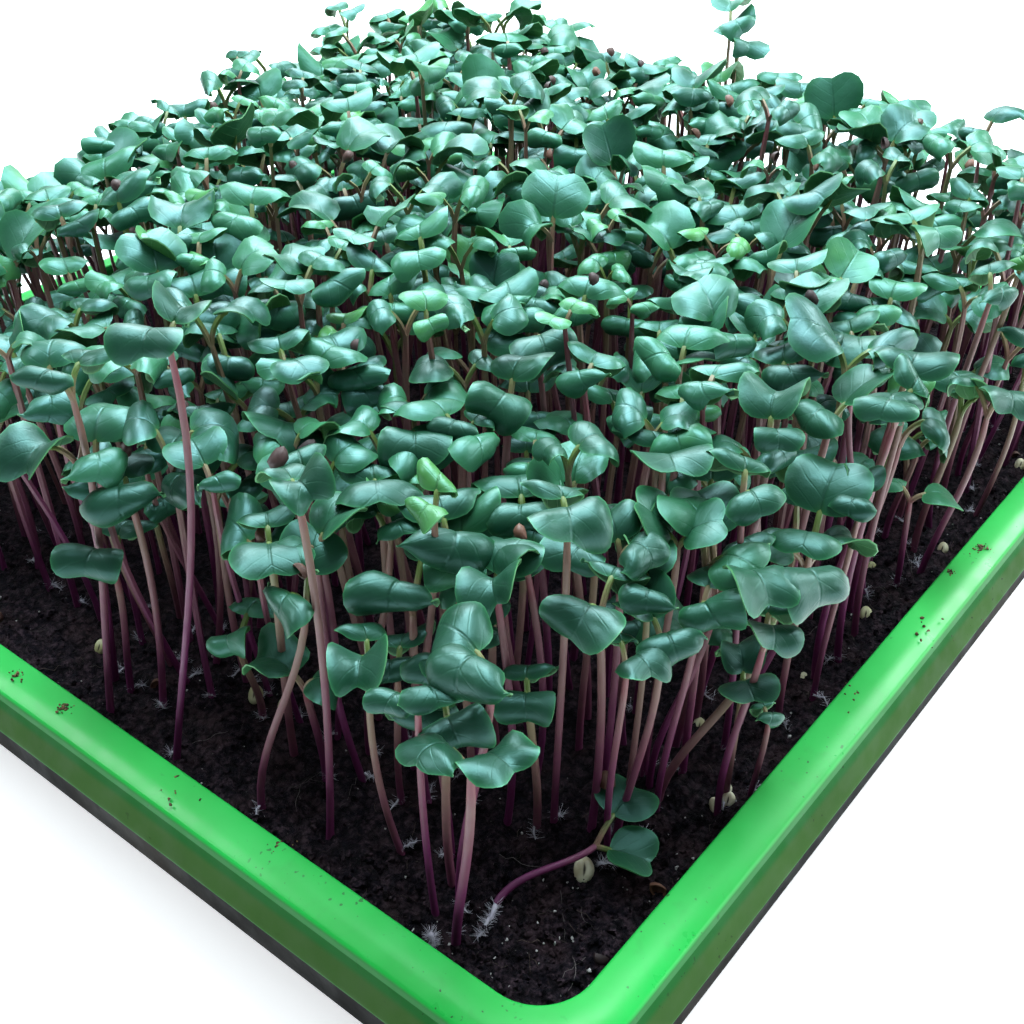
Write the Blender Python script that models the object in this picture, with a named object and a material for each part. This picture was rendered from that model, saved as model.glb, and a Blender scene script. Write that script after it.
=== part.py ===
"""A square tray of radish microgreens: a green grow tray with a rolled rim, nested in a charcoal
drip tray, filled with potting mix and sown with seedlings.

Metres, +Z up. The origin is the centre of the drip tray's underside, which is the face that the
whole thing rests on. The sides of the tray run along X and Y.
"""

import math
import random

import bmesh
import bpy
from mathutils import Vector

# The grow tray. Offsets are measured outwards from the inner edge of its rim.
TRAY_SIDE = 0.310
TRAY_HEIGHT = 0.040
RIM_WIDTH = 0.0112
SKIRT_DROP = 0.0093
RIM_FALL = 0.0010
RIM_SHOULDER = 0.0035
RIM_EDGE = 0.0007
INNER_CORNER_RADIUS = 0.0105
WALL = 0.0012
WALL_DRAFT = math.radians(6)
FLOOR_FILLET = 0.0030

# The drip tray under it. Its own rim shows as a dark band below the green skirt.
DRIP_FLOOR = 0.0015
DRIP_TOP = 0.0370
DRIP_INNER_EDGE = 0.0014
DRIP_RIM_WIDTH = 0.0095
DRIP_BAND_BOTTOM = 0.0215
DRIP_FALL = 0.0003
DRIP_SHOULDER = 0.0020

# Pieces that rest on one another keep this gap.
GAP = 0.0003

DRAIN_ROWS = 4
DRAIN_PITCH = 0.060
DRAIN_RADIUS = 0.003
DRAIN_SIDES = 8

SOIL_TOP = 0.031

# The sowing: a square grid of clumps, each with one short, one middling and one tall seedling.
CLUMP_ROWS = 7
CLUMP_PITCH = 0.0374
CLUMP_RADIUS = 0.011
SEEDLING_HEIGHTS = (0.050, 0.069, 0.090)
HEIGHT_SPREAD = 0.003
PLACE_SPREAD = 0.001
OUTWARD_LEAN = 0.027
LEAN_POWER = 1.5
STEM_SHARES = (0.0, 0.5, 1.0)
STEM_RADIUS = 0.0012
ROOT_MAT_THICKNESS = 0.0012
ROOT_MAT_MARGIN = 0.0026
COTYLEDON_LENGTH = 0.0122
COTYLEDON_THICKNESS = 0.0010

CORNER_STEPS = 5
FILLET_STEPS = 3
SMOOTH_ANGLE = math.radians(40)

# One quarter of a seedling's head seen from above, from the notch at the tip of one seed leaf to
# the waist between the two: along the leaf, across it, and down, in seed-leaf lengths.
HEAD_QUARTER = (
    (0.82, 0.00, 0.10),
    (1.00, 0.28, 0.24),
    (0.50, 0.50, 0.16),
    (0.00, 0.13, 0.00),
)

INNER_HALF = TRAY_SIDE / 2 - RIM_WIDTH
GROW_FLOOR_TOP = DRIP_FLOOR + GAP + WALL


def clear_scene():
    for obj in list(bpy.data.objects):
        bpy.data.objects.remove(obj)


def plain_material(name, colour, roughness):
    material = bpy.data.materials.new(name)
    material.use_nodes = True
    shader = material.node_tree.nodes["Principled BSDF"]
    shader.inputs["Base Color"].default_value = (*colour, 1.0)
    shader.inputs["Roughness"].default_value = roughness
    shader.inputs["Metallic"].default_value = 0.0
    return material


def arc(centre, radius, start, end):
    """Points (offset, height) from one angle to another, in degrees."""
    angles = [math.radians(start + (end - start) * i / FILLET_STEPS) for i in range(FILLET_STEPS + 1)]
    return [(centre[0] + radius * math.cos(a), centre[1] + radius * math.sin(a)) for a in angles]


def wall_offset(inner_edge, top, height):
    """Where a drafted wall's inner face is at this height."""
    return inner_edge - math.tan(WALL_DRAFT) * (top - height)


def tray_profile(top, floor_top, floor, inner_edge, rim_width, rim_bottom, fall, shoulder):
    """The section of a lipped tray, from its floor's upper face, over the rim, to its underside."""
    fillet_height = floor_top + FLOOR_FILLET
    foot = wall_offset(inner_edge, top, fillet_height)
    inside = arc((foot - FLOOR_FILLET, fillet_height), FLOOR_FILLET, -90, 0)
    edge = [
        (wall_offset(inner_edge, top, top - RIM_EDGE), top - RIM_EDGE),
        (inner_edge + RIM_EDGE, top),
    ]
    roll = (rim_width - shoulder, top - fall - shoulder)
    over = arc(roll, shoulder, 90, 0)
    lip = [(rim_width, rim_bottom), (rim_width - WALL, rim_bottom)]
    under = arc(roll, shoulder - WALL, 0, 90)
    throat = [(wall_offset(inner_edge, top, top) + 2 * WALL, top - fall - WALL)]
    neck_height = top - fall - 2 * WALL
    neck = [(wall_offset(inner_edge, top, neck_height) + WALL, neck_height)]
    outer_radius = FLOOR_FILLET + floor
    outside = arc((foot - FLOOR_FILLET + WALL - floor, fillet_height), outer_radius, 0, -90)
    return inside + edge + over + lip + under + throat + neck + outside


def rounded_square(offset, height):
    """A ring of points around the tray, offset outwards from the rim's inner edge."""
    half = INNER_HALF + offset
    radius = INNER_CORNER_RADIUS + offset
    points = []
    for corner in range(4):
        across = math.radians(45 + 90 * corner)
        middle = Vector((math.cos(across), math.sin(across), 0)) * (half - radius) * math.sqrt(2)
        for step in range(CORNER_STEPS + 1):
            turn = math.radians(90 * corner + 90 * step / CORNER_STEPS)
            points.append(middle + Vector((radius * math.cos(turn), radius * math.sin(turn), height)))
    return points


def add_loft(mesh, rings):
    """A closed solid through rings of equally many points, with flat ends."""
    made = [[mesh.verts.new(point) for point in ring] for ring in rings]
    for lower, upper in zip(made, made[1:]):
        for i in range(len(lower)):
            j = (i + 1) % len(lower)
            mesh.faces.new((lower[i], lower[j], upper[j], upper[i]))
    mesh.faces.new(list(reversed(made[0])))
    mesh.faces.new(made[-1])


def finished_object(name, mesh, material=None):
    bmesh.ops.recalc_face_normals(mesh, faces=mesh.faces)
    data = bpy.data.meshes.new(name)
    mesh.to_mesh(data)
    mesh.free()
    if material:
        data.materials.append(material)
    data.shade_smooth()
    data.set_sharp_from_angle(angle=SMOOTH_ANGLE)
    obj = bpy.data.objects.new(name, data)
    bpy.context.scene.collection.objects.link(obj)
    return obj


def helper(obj):
    """A cutter or an operand: it shapes another object and isn't a piece itself."""
    obj.hide_render = True
    obj.display_type = "WIRE"
    return obj


def add_boolean(obj, operation, operand):
    boolean = obj.modifiers.new(operation.title(), "BOOLEAN")
    boolean.operation = operation
    boolean.object = operand
    boolean.solver = "EXACT"
    boolean.use_self = operation == "UNION"


def lofted_object(name, profile, material):
    mesh = bmesh.new()
    add_loft(mesh, [rounded_square(offset, height) for offset, height in profile])
    return finished_object(name, mesh, material)


def drain_cutter():
    """Short upright prisms through the grow tray's floor, on a square grid."""
    mesh = bmesh.new()
    first = -(DRAIN_ROWS - 1) / 2 * DRAIN_PITCH
    for row in range(DRAIN_ROWS):
        for column in range(DRAIN_ROWS):
            centre = Vector((first + column * DRAIN_PITCH, first + row * DRAIN_PITCH, GROW_FLOOR_TOP))
            rings = []
            for height in (-2 * WALL, 2 * WALL):
                angles = [math.tau * i / DRAIN_SIDES for i in range(DRAIN_SIDES)]
                rings.append(
                    [
                        centre + Vector((DRAIN_RADIUS * math.cos(a), DRAIN_RADIUS * math.sin(a), height))
                        for a in angles
                    ]
                )
            add_loft(mesh, rings)
    return helper(finished_object("drain_cutter", mesh))


def grow_tray(material):
    profile = tray_profile(
        top=TRAY_HEIGHT,
        floor_top=GROW_FLOOR_TOP,
        floor=WALL,
        inner_edge=0.0,
        rim_width=RIM_WIDTH,
        rim_bottom=TRAY_HEIGHT - SKIRT_DROP,
        fall=RIM_FALL,
        shoulder=RIM_SHOULDER,
    )
    tray = lofted_object("grow_tray", profile, material)
    add_boolean(tray, "DIFFERENCE", drain_cutter())
    return tray


def drip_tray(material):
    profile = tray_profile(
        top=DRIP_TOP,
        floor_top=DRIP_FLOOR,
        floor=DRIP_FLOOR,
        inner_edge=DRIP_INNER_EDGE,
        rim_width=DRIP_RIM_WIDTH,
        rim_bottom=DRIP_BAND_BOTTOM,
        fall=DRIP_FALL,
        shoulder=DRIP_SHOULDER,
    )
    return lofted_object("drip_tray", profile, material)


def potting_mix(material):
    bottom = GROW_FLOOR_TOP + GAP
    fillet_height = bottom + FLOOR_FILLET
    foot = wall_offset(0.0, TRAY_HEIGHT, fillet_height) - GAP
    profile = arc((foot - FLOOR_FILLET, fillet_height), FLOOR_FILLET, -90, 0)
    profile.append((wall_offset(0.0, TRAY_HEIGHT, SOIL_TOP) - GAP, SOIL_TOP))
    return lofted_object("potting_mix", profile, material)


def leaned(place, height):
    """Where a stem rooted at this place is when it has risen this high: the crowd pushes it outwards."""
    reach = CLUMP_ROWS / 2 * CLUMP_PITCH
    push = OUTWARD_LEAN * (height / max(SEEDLING_HEIGHTS)) ** LEAN_POWER
    return Vector((place.x, place.y, 0)) * (1 + push / reach) + Vector((0, 0, height))


def head_outline():
    """The outline of two opposite seed leaves, counterclockwise from a notch, as four equal quarters."""
    first = list(HEAD_QUARTER)
    second = [(-along, across, down) for along, across, down in reversed(first[:-1])]
    half = first + second
    other = [(along, -across, down) for along, across, down in reversed(half[1:-1])]
    return half + other


def add_seedling(mesh, place, height, azimuth):
    """A square stem that opens into two drooping seed leaves: one closed solid."""
    turns = [azimuth + math.radians(45 + 90 * i) for i in range(4)]
    square = [STEM_RADIUS * Vector((math.cos(turn), math.sin(turn), 0)) for turn in turns]
    foot = Vector((0, 0, ROOT_MAT_THICKNESS / 2))
    stem = []
    for share in STEM_SHARES:
        centre = leaned(place, height * share) + foot
        stem.append([mesh.verts.new(centre + corner) for corner in square])
    mesh.faces.new(list(reversed(stem[0])))
    for lower, upper in zip(stem, stem[1:]):
        for i in range(4):
            j = (i + 1) % 4
            mesh.faces.new((lower[i], lower[j], upper[j], upper[i]))

    along = Vector((math.cos(azimuth), math.sin(azimuth), 0)) * COTYLEDON_LENGTH
    across = Vector((-along.y, along.x, 0))
    down = Vector((0, 0, -COTYLEDON_LENGTH))
    thickness = Vector((0, 0, COTYLEDON_THICKNESS))
    centre = leaned(place, height) + foot
    outline = [centre + along * a + across * c + down * d for a, c, d in head_outline()]
    under = [mesh.verts.new(point) for point in outline]
    over = [mesh.verts.new(point + thickness) for point in outline]
    middle = mesh.verts.new(centre + thickness)
    quarter = len(outline) // 4
    for i in range(len(outline)):
        j = (i + 1) % len(outline)
        near = stem[-1][i // quarter]
        following = stem[-1][j // quarter]
        mesh.faces.new((over[i], over[j], middle))
        mesh.faces.new((over[j], over[i], under[i], under[j]))
        mesh.faces.new((under[j], under[i], near))
        if near is not following:
            mesh.faces.new((under[j], near, following))


def root_mat_rings(places):
    """A thin plate that reaches round the foot of each stem."""
    middle = sum(places, Vector()) / len(places)
    outline = []
    for place in places:
        outward = (place - middle).normalized() * ROOT_MAT_MARGIN
        sideways = Vector((-outward.y, outward.x, 0))
        outline += [place + outward - sideways, place + outward + sideways]
    return [[point + Vector((0, 0, height)) for point in outline] for height in (0, ROOT_MAT_THICKNESS)]


def seedling_clump(row, column, chance, material):
    """Three seedlings whose roots have matted together where they stand on the potting mix."""
    first = -(CLUMP_ROWS - 1) / 2 * CLUMP_PITCH
    centre = Vector((first + column * CLUMP_PITCH, first + row * CLUMP_PITCH, 0))
    places = []
    for i in range(len(SEEDLING_HEIGHTS)):
        turn = math.tau * i / len(SEEDLING_HEIGHTS)
        spread = Vector((chance.uniform(-1, 1), chance.uniform(-1, 1), 0)) * PLACE_SPREAD
        places.append(centre + CLUMP_RADIUS * Vector((math.cos(turn), math.sin(turn), 0)) + spread)
    plants = bmesh.new()
    for place, usual_height in zip(places, SEEDLING_HEIGHTS):
        height = usual_height + chance.uniform(-1, 1) * HEIGHT_SPREAD
        add_seedling(plants, place, height, chance.uniform(0, math.pi))
    name = f"seedling_clump_r{row + 1}c{column + 1}"
    operand = helper(finished_object(name + "_plants", plants))
    mat = bmesh.new()
    add_loft(mat, root_mat_rings(places))
    clump = finished_object(name, mat, material)
    add_boolean(clump, "UNION", operand)
    for obj in (clump, operand):
        obj.location = (0, 0, SOIL_TOP + GAP)
    return clump


def main():
    clear_scene()
    chance = random.Random(11)
    grow_tray(plain_material("green_plastic", (0.06, 0.52, 0.13), 0.25))
    drip_tray(plain_material("charcoal_plastic", (0.03, 0.028, 0.026), 0.5))
    potting_mix(plain_material("potting_mix", (0.018, 0.012, 0.009), 0.95))
    seedling_green = plain_material("seedling", (0.06, 0.25, 0.13), 0.4)
    for row in range(CLUMP_ROWS):
        for column in range(CLUMP_ROWS):
            seedling_clump(row, column, chance, seedling_green)


main()
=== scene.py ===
"""The looks of the microgreens tray: a green grow tray in a dark drip tray, moist potting mix and a
dense sowing of radish seedlings with rolled seed leaves on purple stems.

Metres, in the CAD model's frame: +Z up, the tray's sides along X and Y, its base at z = 0.
The camera looks over the corner at -X, -Y.
"""

import math
import random
from dataclasses import dataclass

import bmesh
import bpy
import numpy as np
from mathutils import Euler, Matrix, Vector, noise


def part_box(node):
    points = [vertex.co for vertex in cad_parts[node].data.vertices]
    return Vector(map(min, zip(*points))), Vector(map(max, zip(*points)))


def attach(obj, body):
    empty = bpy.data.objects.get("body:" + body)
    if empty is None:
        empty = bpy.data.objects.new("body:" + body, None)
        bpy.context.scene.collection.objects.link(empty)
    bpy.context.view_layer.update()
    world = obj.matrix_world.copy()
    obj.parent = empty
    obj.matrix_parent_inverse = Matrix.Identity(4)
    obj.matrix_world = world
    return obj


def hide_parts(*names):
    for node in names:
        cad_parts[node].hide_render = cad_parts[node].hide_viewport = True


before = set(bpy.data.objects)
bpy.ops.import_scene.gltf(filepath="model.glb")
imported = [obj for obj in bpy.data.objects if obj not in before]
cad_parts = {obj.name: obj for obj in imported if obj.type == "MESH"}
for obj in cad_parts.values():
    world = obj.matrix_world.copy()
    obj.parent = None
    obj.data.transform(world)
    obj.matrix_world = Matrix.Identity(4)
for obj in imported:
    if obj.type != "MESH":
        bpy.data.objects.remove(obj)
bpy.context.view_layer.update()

MM = 0.001

# The frame's own sizes.
TRAY_LOW, TRAY_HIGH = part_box("grow_tray")
_, DRIP_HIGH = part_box("drip_tray")
SOIL_LOW, SOIL_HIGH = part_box("potting_mix")

# The trays, with the CAD model's main sizes. Offsets are measured outwards from the grow tray's
# inner rim edge.
RIM_WIDTH = 11.2 * MM
INNER_HALF = TRAY_HIGH.x - RIM_WIDTH
INNER_CORNER_RADIUS = 10.5 * MM
WALL = 1.2 * MM
WALL_DRAFT = math.radians(6)
FLOOR_FILLET = 3.0 * MM
CROWN_FALL = 1.2 * MM
SHOULDER = 1.8 * MM
SKIRT_DROP = 9.3 * MM
SKIRT_FLARE = 2.4 * MM
SKIRT_TOP = TRAY_HIGH.z - 2.4 * MM
SHEET_WARP = 0.25 * MM
DRIP_FLOOR = 1.5 * MM
DRIP_INNER_EDGE = 1.4 * MM
DRIP_RIM_WIDTH = 9.5 * MM
DRIP_BAND_BOTTOM = 21.5 * MM
DRIP_FALL = 0.3 * MM
DRIP_SHOULDER = 2.0 * MM

# How finely the trays are meshed.
CORNER_STEPS = 20
SIDE_STEPS = 16
ARC_STEPS = 8

# The sowing: 49 clumps, as in the CAD model, and bare strips along the two near sides.
CLUMP_ROWS = 7
CLUMP_PITCH = 37.4 * MM
SEEDLING_COUNT = 880
STEM_SPACING = 7.1 * MM
BARE_STRIP = 8.5 * MM
LEFT_STRIP = 21 * MM
LEFT_STRIP_END = 60 * MM
BARE_CORNER = 62 * MM
SOIL_LEVEL = SOIL_HIGH.z
STEM_START = 3.5 * MM

# The canopy. Its height is over the potting mix, and it drops towards the tray's sides.
CANOPY_HEIGHT = 70 * MM
SIDE_DROP = 8 * MM
CORNER_DROP = 6 * MM
FAR_LEFT_DROP = 15 * MM
FAR_RIGHT_DROP = 5 * MM
FAR_CORNER_RISE = 3 * MM
LOWEST_HEAD = 30 * MM
HIGHEST_HEAD = 88 * MM
HEAD_REACH = 142 * MM
FAN_OUT = 11 * MM

# The camera looks over the near corner. Its heading is measured from +X towards +Y.
CAMERA_PLACE = Vector((-0.23654, -0.21499, 0.22000))
CAMERA_HEADING = math.radians(39.55)
CAMERA_TILT = math.radians(35.26)
CAMERA_ROLL = math.radians(1.32)
CAMERA_LENS = 45.546

chance = random.Random(2024)


def between(low, high):
    return chance.uniform(low, high)


def flat(x, y, z=0.0):
    return Vector((x, y, z))


# ---------------------------------------------------------------- meshes


class Piece:
    """One piece's mesh, gathered part by part, with what its materials need to know at each point.

    blade holds a leaf's own coordinates: across and along it, and how near the margin.
    plant holds the height share along a stem, and two tones that differ from plant to plant.
    """

    def __init__(self):
        self.points = []
        self.faces = []
        self.slots = []
        self.blade = []
        self.plant = []
        self.count = 0

    def add(self, points, faces, slot, blade=(0, 0, 0), plant=(0, 0, 0)):
        points = np.asarray(points, float)
        rows = len(points)
        self.points.append(points)
        for array in faces:
            self.faces.append(np.asarray(array, int) + self.count)
            self.slots.append(np.full(len(array), slot))
        self.blade.append(np.broadcast_to(np.asarray(blade, float), (rows, 3)))
        self.plant.append(np.broadcast_to(np.asarray(plant, float), (rows, 3)))
        self.count += rows

    def build(self, name, materials, sharp_angle=50):
        mesh = bpy.data.meshes.new(name)
        corners = np.concatenate([array.ravel() for array in self.faces])
        sizes = np.concatenate([np.full(len(array), array.shape[1]) for array in self.faces])
        starts = np.concatenate([[0], np.cumsum(sizes)[:-1]])
        mesh.vertices.add(self.count)
        mesh.vertices.foreach_set("co", np.concatenate(self.points).ravel().astype(np.float32))
        mesh.loops.add(len(corners))
        mesh.loops.foreach_set("vertex_index", corners.astype(np.int32))
        mesh.polygons.add(len(sizes))
        mesh.polygons.foreach_set("loop_start", starts.astype(np.int32))
        mesh.polygons.foreach_set("material_index", np.concatenate(self.slots).astype(np.int32))
        for label, rows in (("blade", self.blade), ("plant", self.plant)):
            layer = mesh.attributes.new(label, "FLOAT_VECTOR", "POINT")
            layer.data.foreach_set("vector", np.concatenate(rows).ravel().astype(np.float32))
        mesh.update(calc_edges=True)
        mesh.validate()
        mesh.shade_smooth()
        mesh.set_sharp_from_angle(angle=math.radians(sharp_angle))
        for material in materials:
            mesh.materials.append(material)
        obj = bpy.data.objects.new(name, mesh)
        bpy.context.scene.collection.objects.link(obj)
        return obj


def ring_faces(rings, sides):
    """Quads between successive rings, facing out when the rings turn counterclockwise upwards."""
    low = np.arange(rings - 1)[:, None] * sides
    here = np.arange(sides)[None, :]
    following = (here + 1) % sides
    high = low + sides
    quads = np.stack([low + here, low + following, high + following, high + here], -1)
    return quads.reshape(-1, 4)


def cap_faces(first, sides, upwards):
    """A fan that closes one end of a tube."""
    steps = np.arange(1, sides - 1)
    start = np.full(len(steps), first)
    if upwards:
        return np.stack([start, first + steps, first + steps + 1], -1)
    return np.stack([start, first + steps + 1, first + steps], -1)


def tube(path, radii, sides, flatness=1.0, turn=0.0):
    """Points and faces of a closed tube along a path."""
    path = np.asarray(path, float)
    tangents = np.gradient(path, axis=0)
    tangents /= np.linalg.norm(tangents, axis=1)[:, None]
    side = np.cross(tangents[0], (0.31, 0.17, 0.93))
    if np.linalg.norm(side) < 0.2:
        side = np.cross(tangents[0], (1.0, 0.0, 0.0))
    angles = turn + math.tau * np.arange(sides) / sides
    rings = []
    for point, tangent, radius in zip(path, tangents, radii):
        side = side - tangent * (side @ tangent)
        side /= np.linalg.norm(side)
        other = np.cross(tangent, side)
        around = np.cos(angles)[:, None] * side + flatness * np.sin(angles)[:, None] * other
        rings.append(point + radius * around)
    last = (len(path) - 1) * sides
    faces = [ring_faces(len(path), sides), cap_faces(0, sides, False), cap_faces(last, sides, True)]
    return np.concatenate(rings), faces


def curve_points(start, start_pull, end_pull, end, steps):
    """Points along a Bezier curve, given its ends and how far each pulls the curve."""
    shares = np.linspace(0, 1, steps)[:, None]
    rest = 1 - shares
    corners = [np.array(point) for point in (start, start + start_pull, end + end_pull, end)]
    return (
        rest**3 * corners[0]
        + 3 * rest**2 * shares * corners[1]
        + 3 * rest * shares**2 * corners[2]
        + shares**3 * corners[3]
    )


# ---------------------------------------------------------------- trays


def arc(centre, radius, start, end):
    """Points (offset, height) from one angle to another, in degrees."""
    angles = np.radians(np.linspace(start, end, ARC_STEPS + 1))
    return [(centre[0] + radius * math.cos(a), centre[1] + radius * math.sin(a)) for a in angles]


def wall_offset(inner_edge, top, height):
    """Where a drafted wall's inner face is at this height."""
    return inner_edge - math.tan(WALL_DRAFT) * (top - height)


def tray_profile(top, floor_top, floor, inner_edge, rim_width, rim_bottom, fall, shoulder, flare):
    """The section of a lipped tray, from its floor's upper face, over the rim, to its underside.

    floor is how thick the floor is. The rim's top falls away more and more towards a tight shoulder,
    and the skirt below it flares out.
    """
    rounding = 0.7 * MM
    fillet_height = floor_top + FLOOR_FILLET
    foot = wall_offset(inner_edge, top, fillet_height)
    profile = arc((foot - FLOOR_FILLET, fillet_height), FLOOR_FILLET, -90, 0)
    for share in (0.25, 0.5, 0.75):
        height = fillet_height + share * (top - rounding - fillet_height)
        profile.append((wall_offset(inner_edge, top, height), height))
    profile += arc((inner_edge + rounding, top - rounding), rounding, 180, 90)
    crown_start = inner_edge + rounding
    crown_end = rim_width - flare - shoulder * 0.65
    tilt = math.atan(3 * fall / (crown_end - crown_start))
    for share in (0.3, 0.5, 0.65, 0.8, 0.9):
        profile.append((crown_start + share * (crown_end - crown_start), top - fall * share**3))
    roll = (rim_width - flare - shoulder, top - fall - shoulder * math.cos(tilt))
    draft = math.degrees(math.atan(flare / (roll[1] - rim_bottom)))
    profile += arc(roll, shoulder, 90 - math.degrees(tilt), draft)
    bead = 0.3 * MM
    bead_top = rim_bottom + 1.1 * MM
    roll_end, skirt_end = profile[-1], (rim_width, bead_top + bead)
    for share in (0.10, 0.5):
        profile.append(tuple(a + (b - a) * share for a, b in zip(roll_end, skirt_end)))
    profile += [
        skirt_end,
        (rim_width + bead, bead_top - bead),
        (rim_width + bead, rim_bottom + 0.4 * MM),
        (rim_width + 0.1 * MM, rim_bottom),
        (rim_width - WALL, rim_bottom),
    ]
    profile += arc(roll, max(shoulder - WALL, 0.3 * MM), draft, 90)
    profile.append((wall_offset(inner_edge, top, top) + 2 * WALL, top - fall - WALL))
    neck_height = top - fall - 2 * WALL
    profile.append((wall_offset(inner_edge, top, neck_height) + WALL, neck_height))
    outer = (foot - FLOOR_FILLET + WALL - floor, fillet_height)
    return profile + arc(outer, FLOOR_FILLET + floor, 0, -90)


def rounded_square(offset, height):
    """A ring of points round the tray. Corners are arcs, and the sides between them have points too."""
    half = INNER_HALF + offset
    radius = INNER_CORNER_RADIUS + offset
    points = []
    for corner in range(4):
        quarter = math.pi / 2 * corner
        turn_to = Matrix.Rotation(quarter, 3, "Z")
        middle = flat(half - radius, half - radius)
        for step in range(CORNER_STEPS + 1):
            angle = math.pi / 2 * step / CORNER_STEPS
            points.append(turn_to @ (middle + radius * flat(math.cos(angle), math.sin(angle))))
        for step in range(1, SIDE_STEPS):
            share = step / SIDE_STEPS
            points.append(turn_to @ flat((half - radius) * (1 - 2 * share), half))
    return np.array([(point.x, point.y, height) for point in points])


def warped(points, amount):
    """Thin moulded sheet is never quite straight: it waves a little from side to side."""
    out = points.copy()
    for row in out:
        place = Vector(row)
        out_bend = noise.noise(place * 14) * amount
        away = flat(place.x, place.y)
        row[:2] += np.array(away.normalized())[:2] * out_bend
        row[2] += noise.noise(place * 11 + flat(5, 3, 1)) * amount * 0.6
    return out


def moulded_tray(name, profile, warp, materials, skirt_top=0.0):
    """A tray of this section. Its skirt, outside and below skirt_top, takes the second material, which
    on the green tray is its plastic painted dark as painted shade.
    """
    rings = []
    for offset, height in profile:
        ring = rounded_square(offset, height)
        on_rim = max(0.0, min(1.0, (offset + 2 * MM) / (6 * MM)))
        rings.append(warped(ring, warp * on_rim) if on_rim else ring)
    sides = len(rings[0])
    last = (len(rings) - 1) * sides
    piece = Piece()
    # The rings run downwards on the outside, so the tube's faces are turned round.
    faces = [ring_faces(len(rings), sides)[:, ::-1]]
    faces += [cap_faces(0, sides, True), cap_faces(last, sides, False)]
    piece.add(np.concatenate(rings), faces, 0)
    if skirt_top:
        on_rim = RIM_WIDTH - 4 * MM
        on_skirt = [offset > on_rim and height < skirt_top for offset, height in profile[:-1]]
        piece.slots[0] = np.repeat(on_skirt, sides).astype(int)
    return piece.build(name, materials, sharp_angle=35)


# ---------------------------------------------------------------- materials


def add_node(tree, kind, inputs=None, **settings):
    made = tree.nodes.new("ShaderNode" + kind)
    for key, value in settings.items():
        setattr(made, key, value)
    for key, value in (inputs or {}).items():
        if isinstance(value, bpy.types.NodeSocket):
            tree.links.new(value, made.inputs[key])
        else:
            made.inputs[key].default_value = value
    return made


class Surface:
    """A Principled material that is put together from procedural patterns."""

    def __init__(self, name, **constants):
        self.material = bpy.data.materials.new(name)
        self.material.use_nodes = True
        self.tree = self.material.node_tree
        self.shader = self.tree.nodes["Principled BSDF"]
        self.place = add_node(self.tree, "TexCoord").outputs["Object"]
        self.height = None
        for key, value in constants.items():
            self.shader.inputs[key.replace("_", " ")].default_value = value

    def set(self, socket, value):
        self.tree.links.new(value, self.shader.inputs[socket])

    def attribute(self, name):
        source = add_node(self.tree, "Attribute", attribute_name=name).outputs["Vector"]
        return add_node(self.tree, "SeparateXYZ", {0: source}).outputs

    def noise(self, feature, detail=3.0, rough=0.5, distortion=0.0):
        """A noise whose blotches are about this big, in metres. Its values lie around 0.5."""
        inputs = {
            "Vector": self.place,
            "Scale": 0.5 / feature,
            "Detail": detail,
            "Roughness": rough,
            "Distortion": distortion,
        }
        return add_node(self.tree, "TexNoise", inputs).outputs["Fac"]

    def cells(self, size):
        """How far a point is from the middle of its cell, for cells about this big."""
        inputs = {"Vector": self.place, "Scale": 1 / size}
        return add_node(self.tree, "TexVoronoi", inputs).outputs["Distance"]

    def math(self, operation, first, second=0.5, third=0.5):
        inputs = {0: first, 1: second}
        if operation == "MULTIPLY_ADD":
            inputs[2] = third
        return add_node(self.tree, "Math", inputs, operation=operation).outputs[0]

    def span(self, value, low, high, to_low=0.0, to_high=1.0, smooth=True):
        """The value's stretch from low to high, spread over another stretch and held at its ends."""
        inputs = {0: value, 1: low, 2: high, 3: to_low, 4: to_high}
        kind = "SMOOTHSTEP" if smooth else "LINEAR"
        return add_node(self.tree, "MapRange", inputs, interpolation_type=kind).outputs[0]

    def wear(self, feature, detail, low, high):
        """A roughness that wanders between these two values, in blotches of this size."""
        return self.span(self.noise(feature, detail), 0.3, 0.7, low, high)

    def mix(self, share, first, second):
        """A blend of two colours, or of a colour and a node's output."""
        made = add_node(self.tree, "Mix", data_type="RGBA")
        for index, value in ((0, share), (6, first), (7, second)):
            socket = made.inputs[index]
            if isinstance(value, bpy.types.NodeSocket):
                self.tree.links.new(value, socket)
            elif isinstance(value, tuple):
                socket.default_value = (*value, 1.0)
            else:
                socket.default_value = value
        return made.outputs[2]

    def ramp(self, value, stops):
        """A colour from a list of (position, colour) stops."""
        made = add_node(self.tree, "ValToRGB", {0: value})
        elements = made.color_ramp.elements
        while len(elements) < len(stops):
            elements.new(0.5)
        for element, (position, colour) in zip(elements, stops):
            element.position = position
            element.color = (*colour, 1.0)
        return made.outputs["Color"]

    def bump(self, height, distance, strength=1.0):
        """Adds relief this deep, in metres, over whatever relief is there already."""
        inputs = {"Height": height, "Distance": distance, "Strength": strength}
        if self.height:
            inputs["Normal"] = self.height
        self.height = add_node(self.tree, "Bump", inputs).outputs[0]
        self.set("Normal", self.height)


def rim_distance(surface):
    """How far outwards from the rim's inner edge a point of the tray lies, also at a corner."""
    x, y, _ = add_node(surface.tree, "SeparateXYZ", {0: surface.place}).outputs
    half = INNER_HALF - INNER_CORNER_RADIUS
    beyond = []
    for axis in (x, y):
        past = surface.math("SUBTRACT", surface.math("ABSOLUTE", axis), half)
        beyond.append(surface.math("POWER", surface.math("MAXIMUM", past, 0.0), 2.0))
    reach = surface.math("SQRT", surface.math("ADD", *beyond))
    return surface.math("SUBTRACT", reach, INNER_CORNER_RADIUS)


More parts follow.
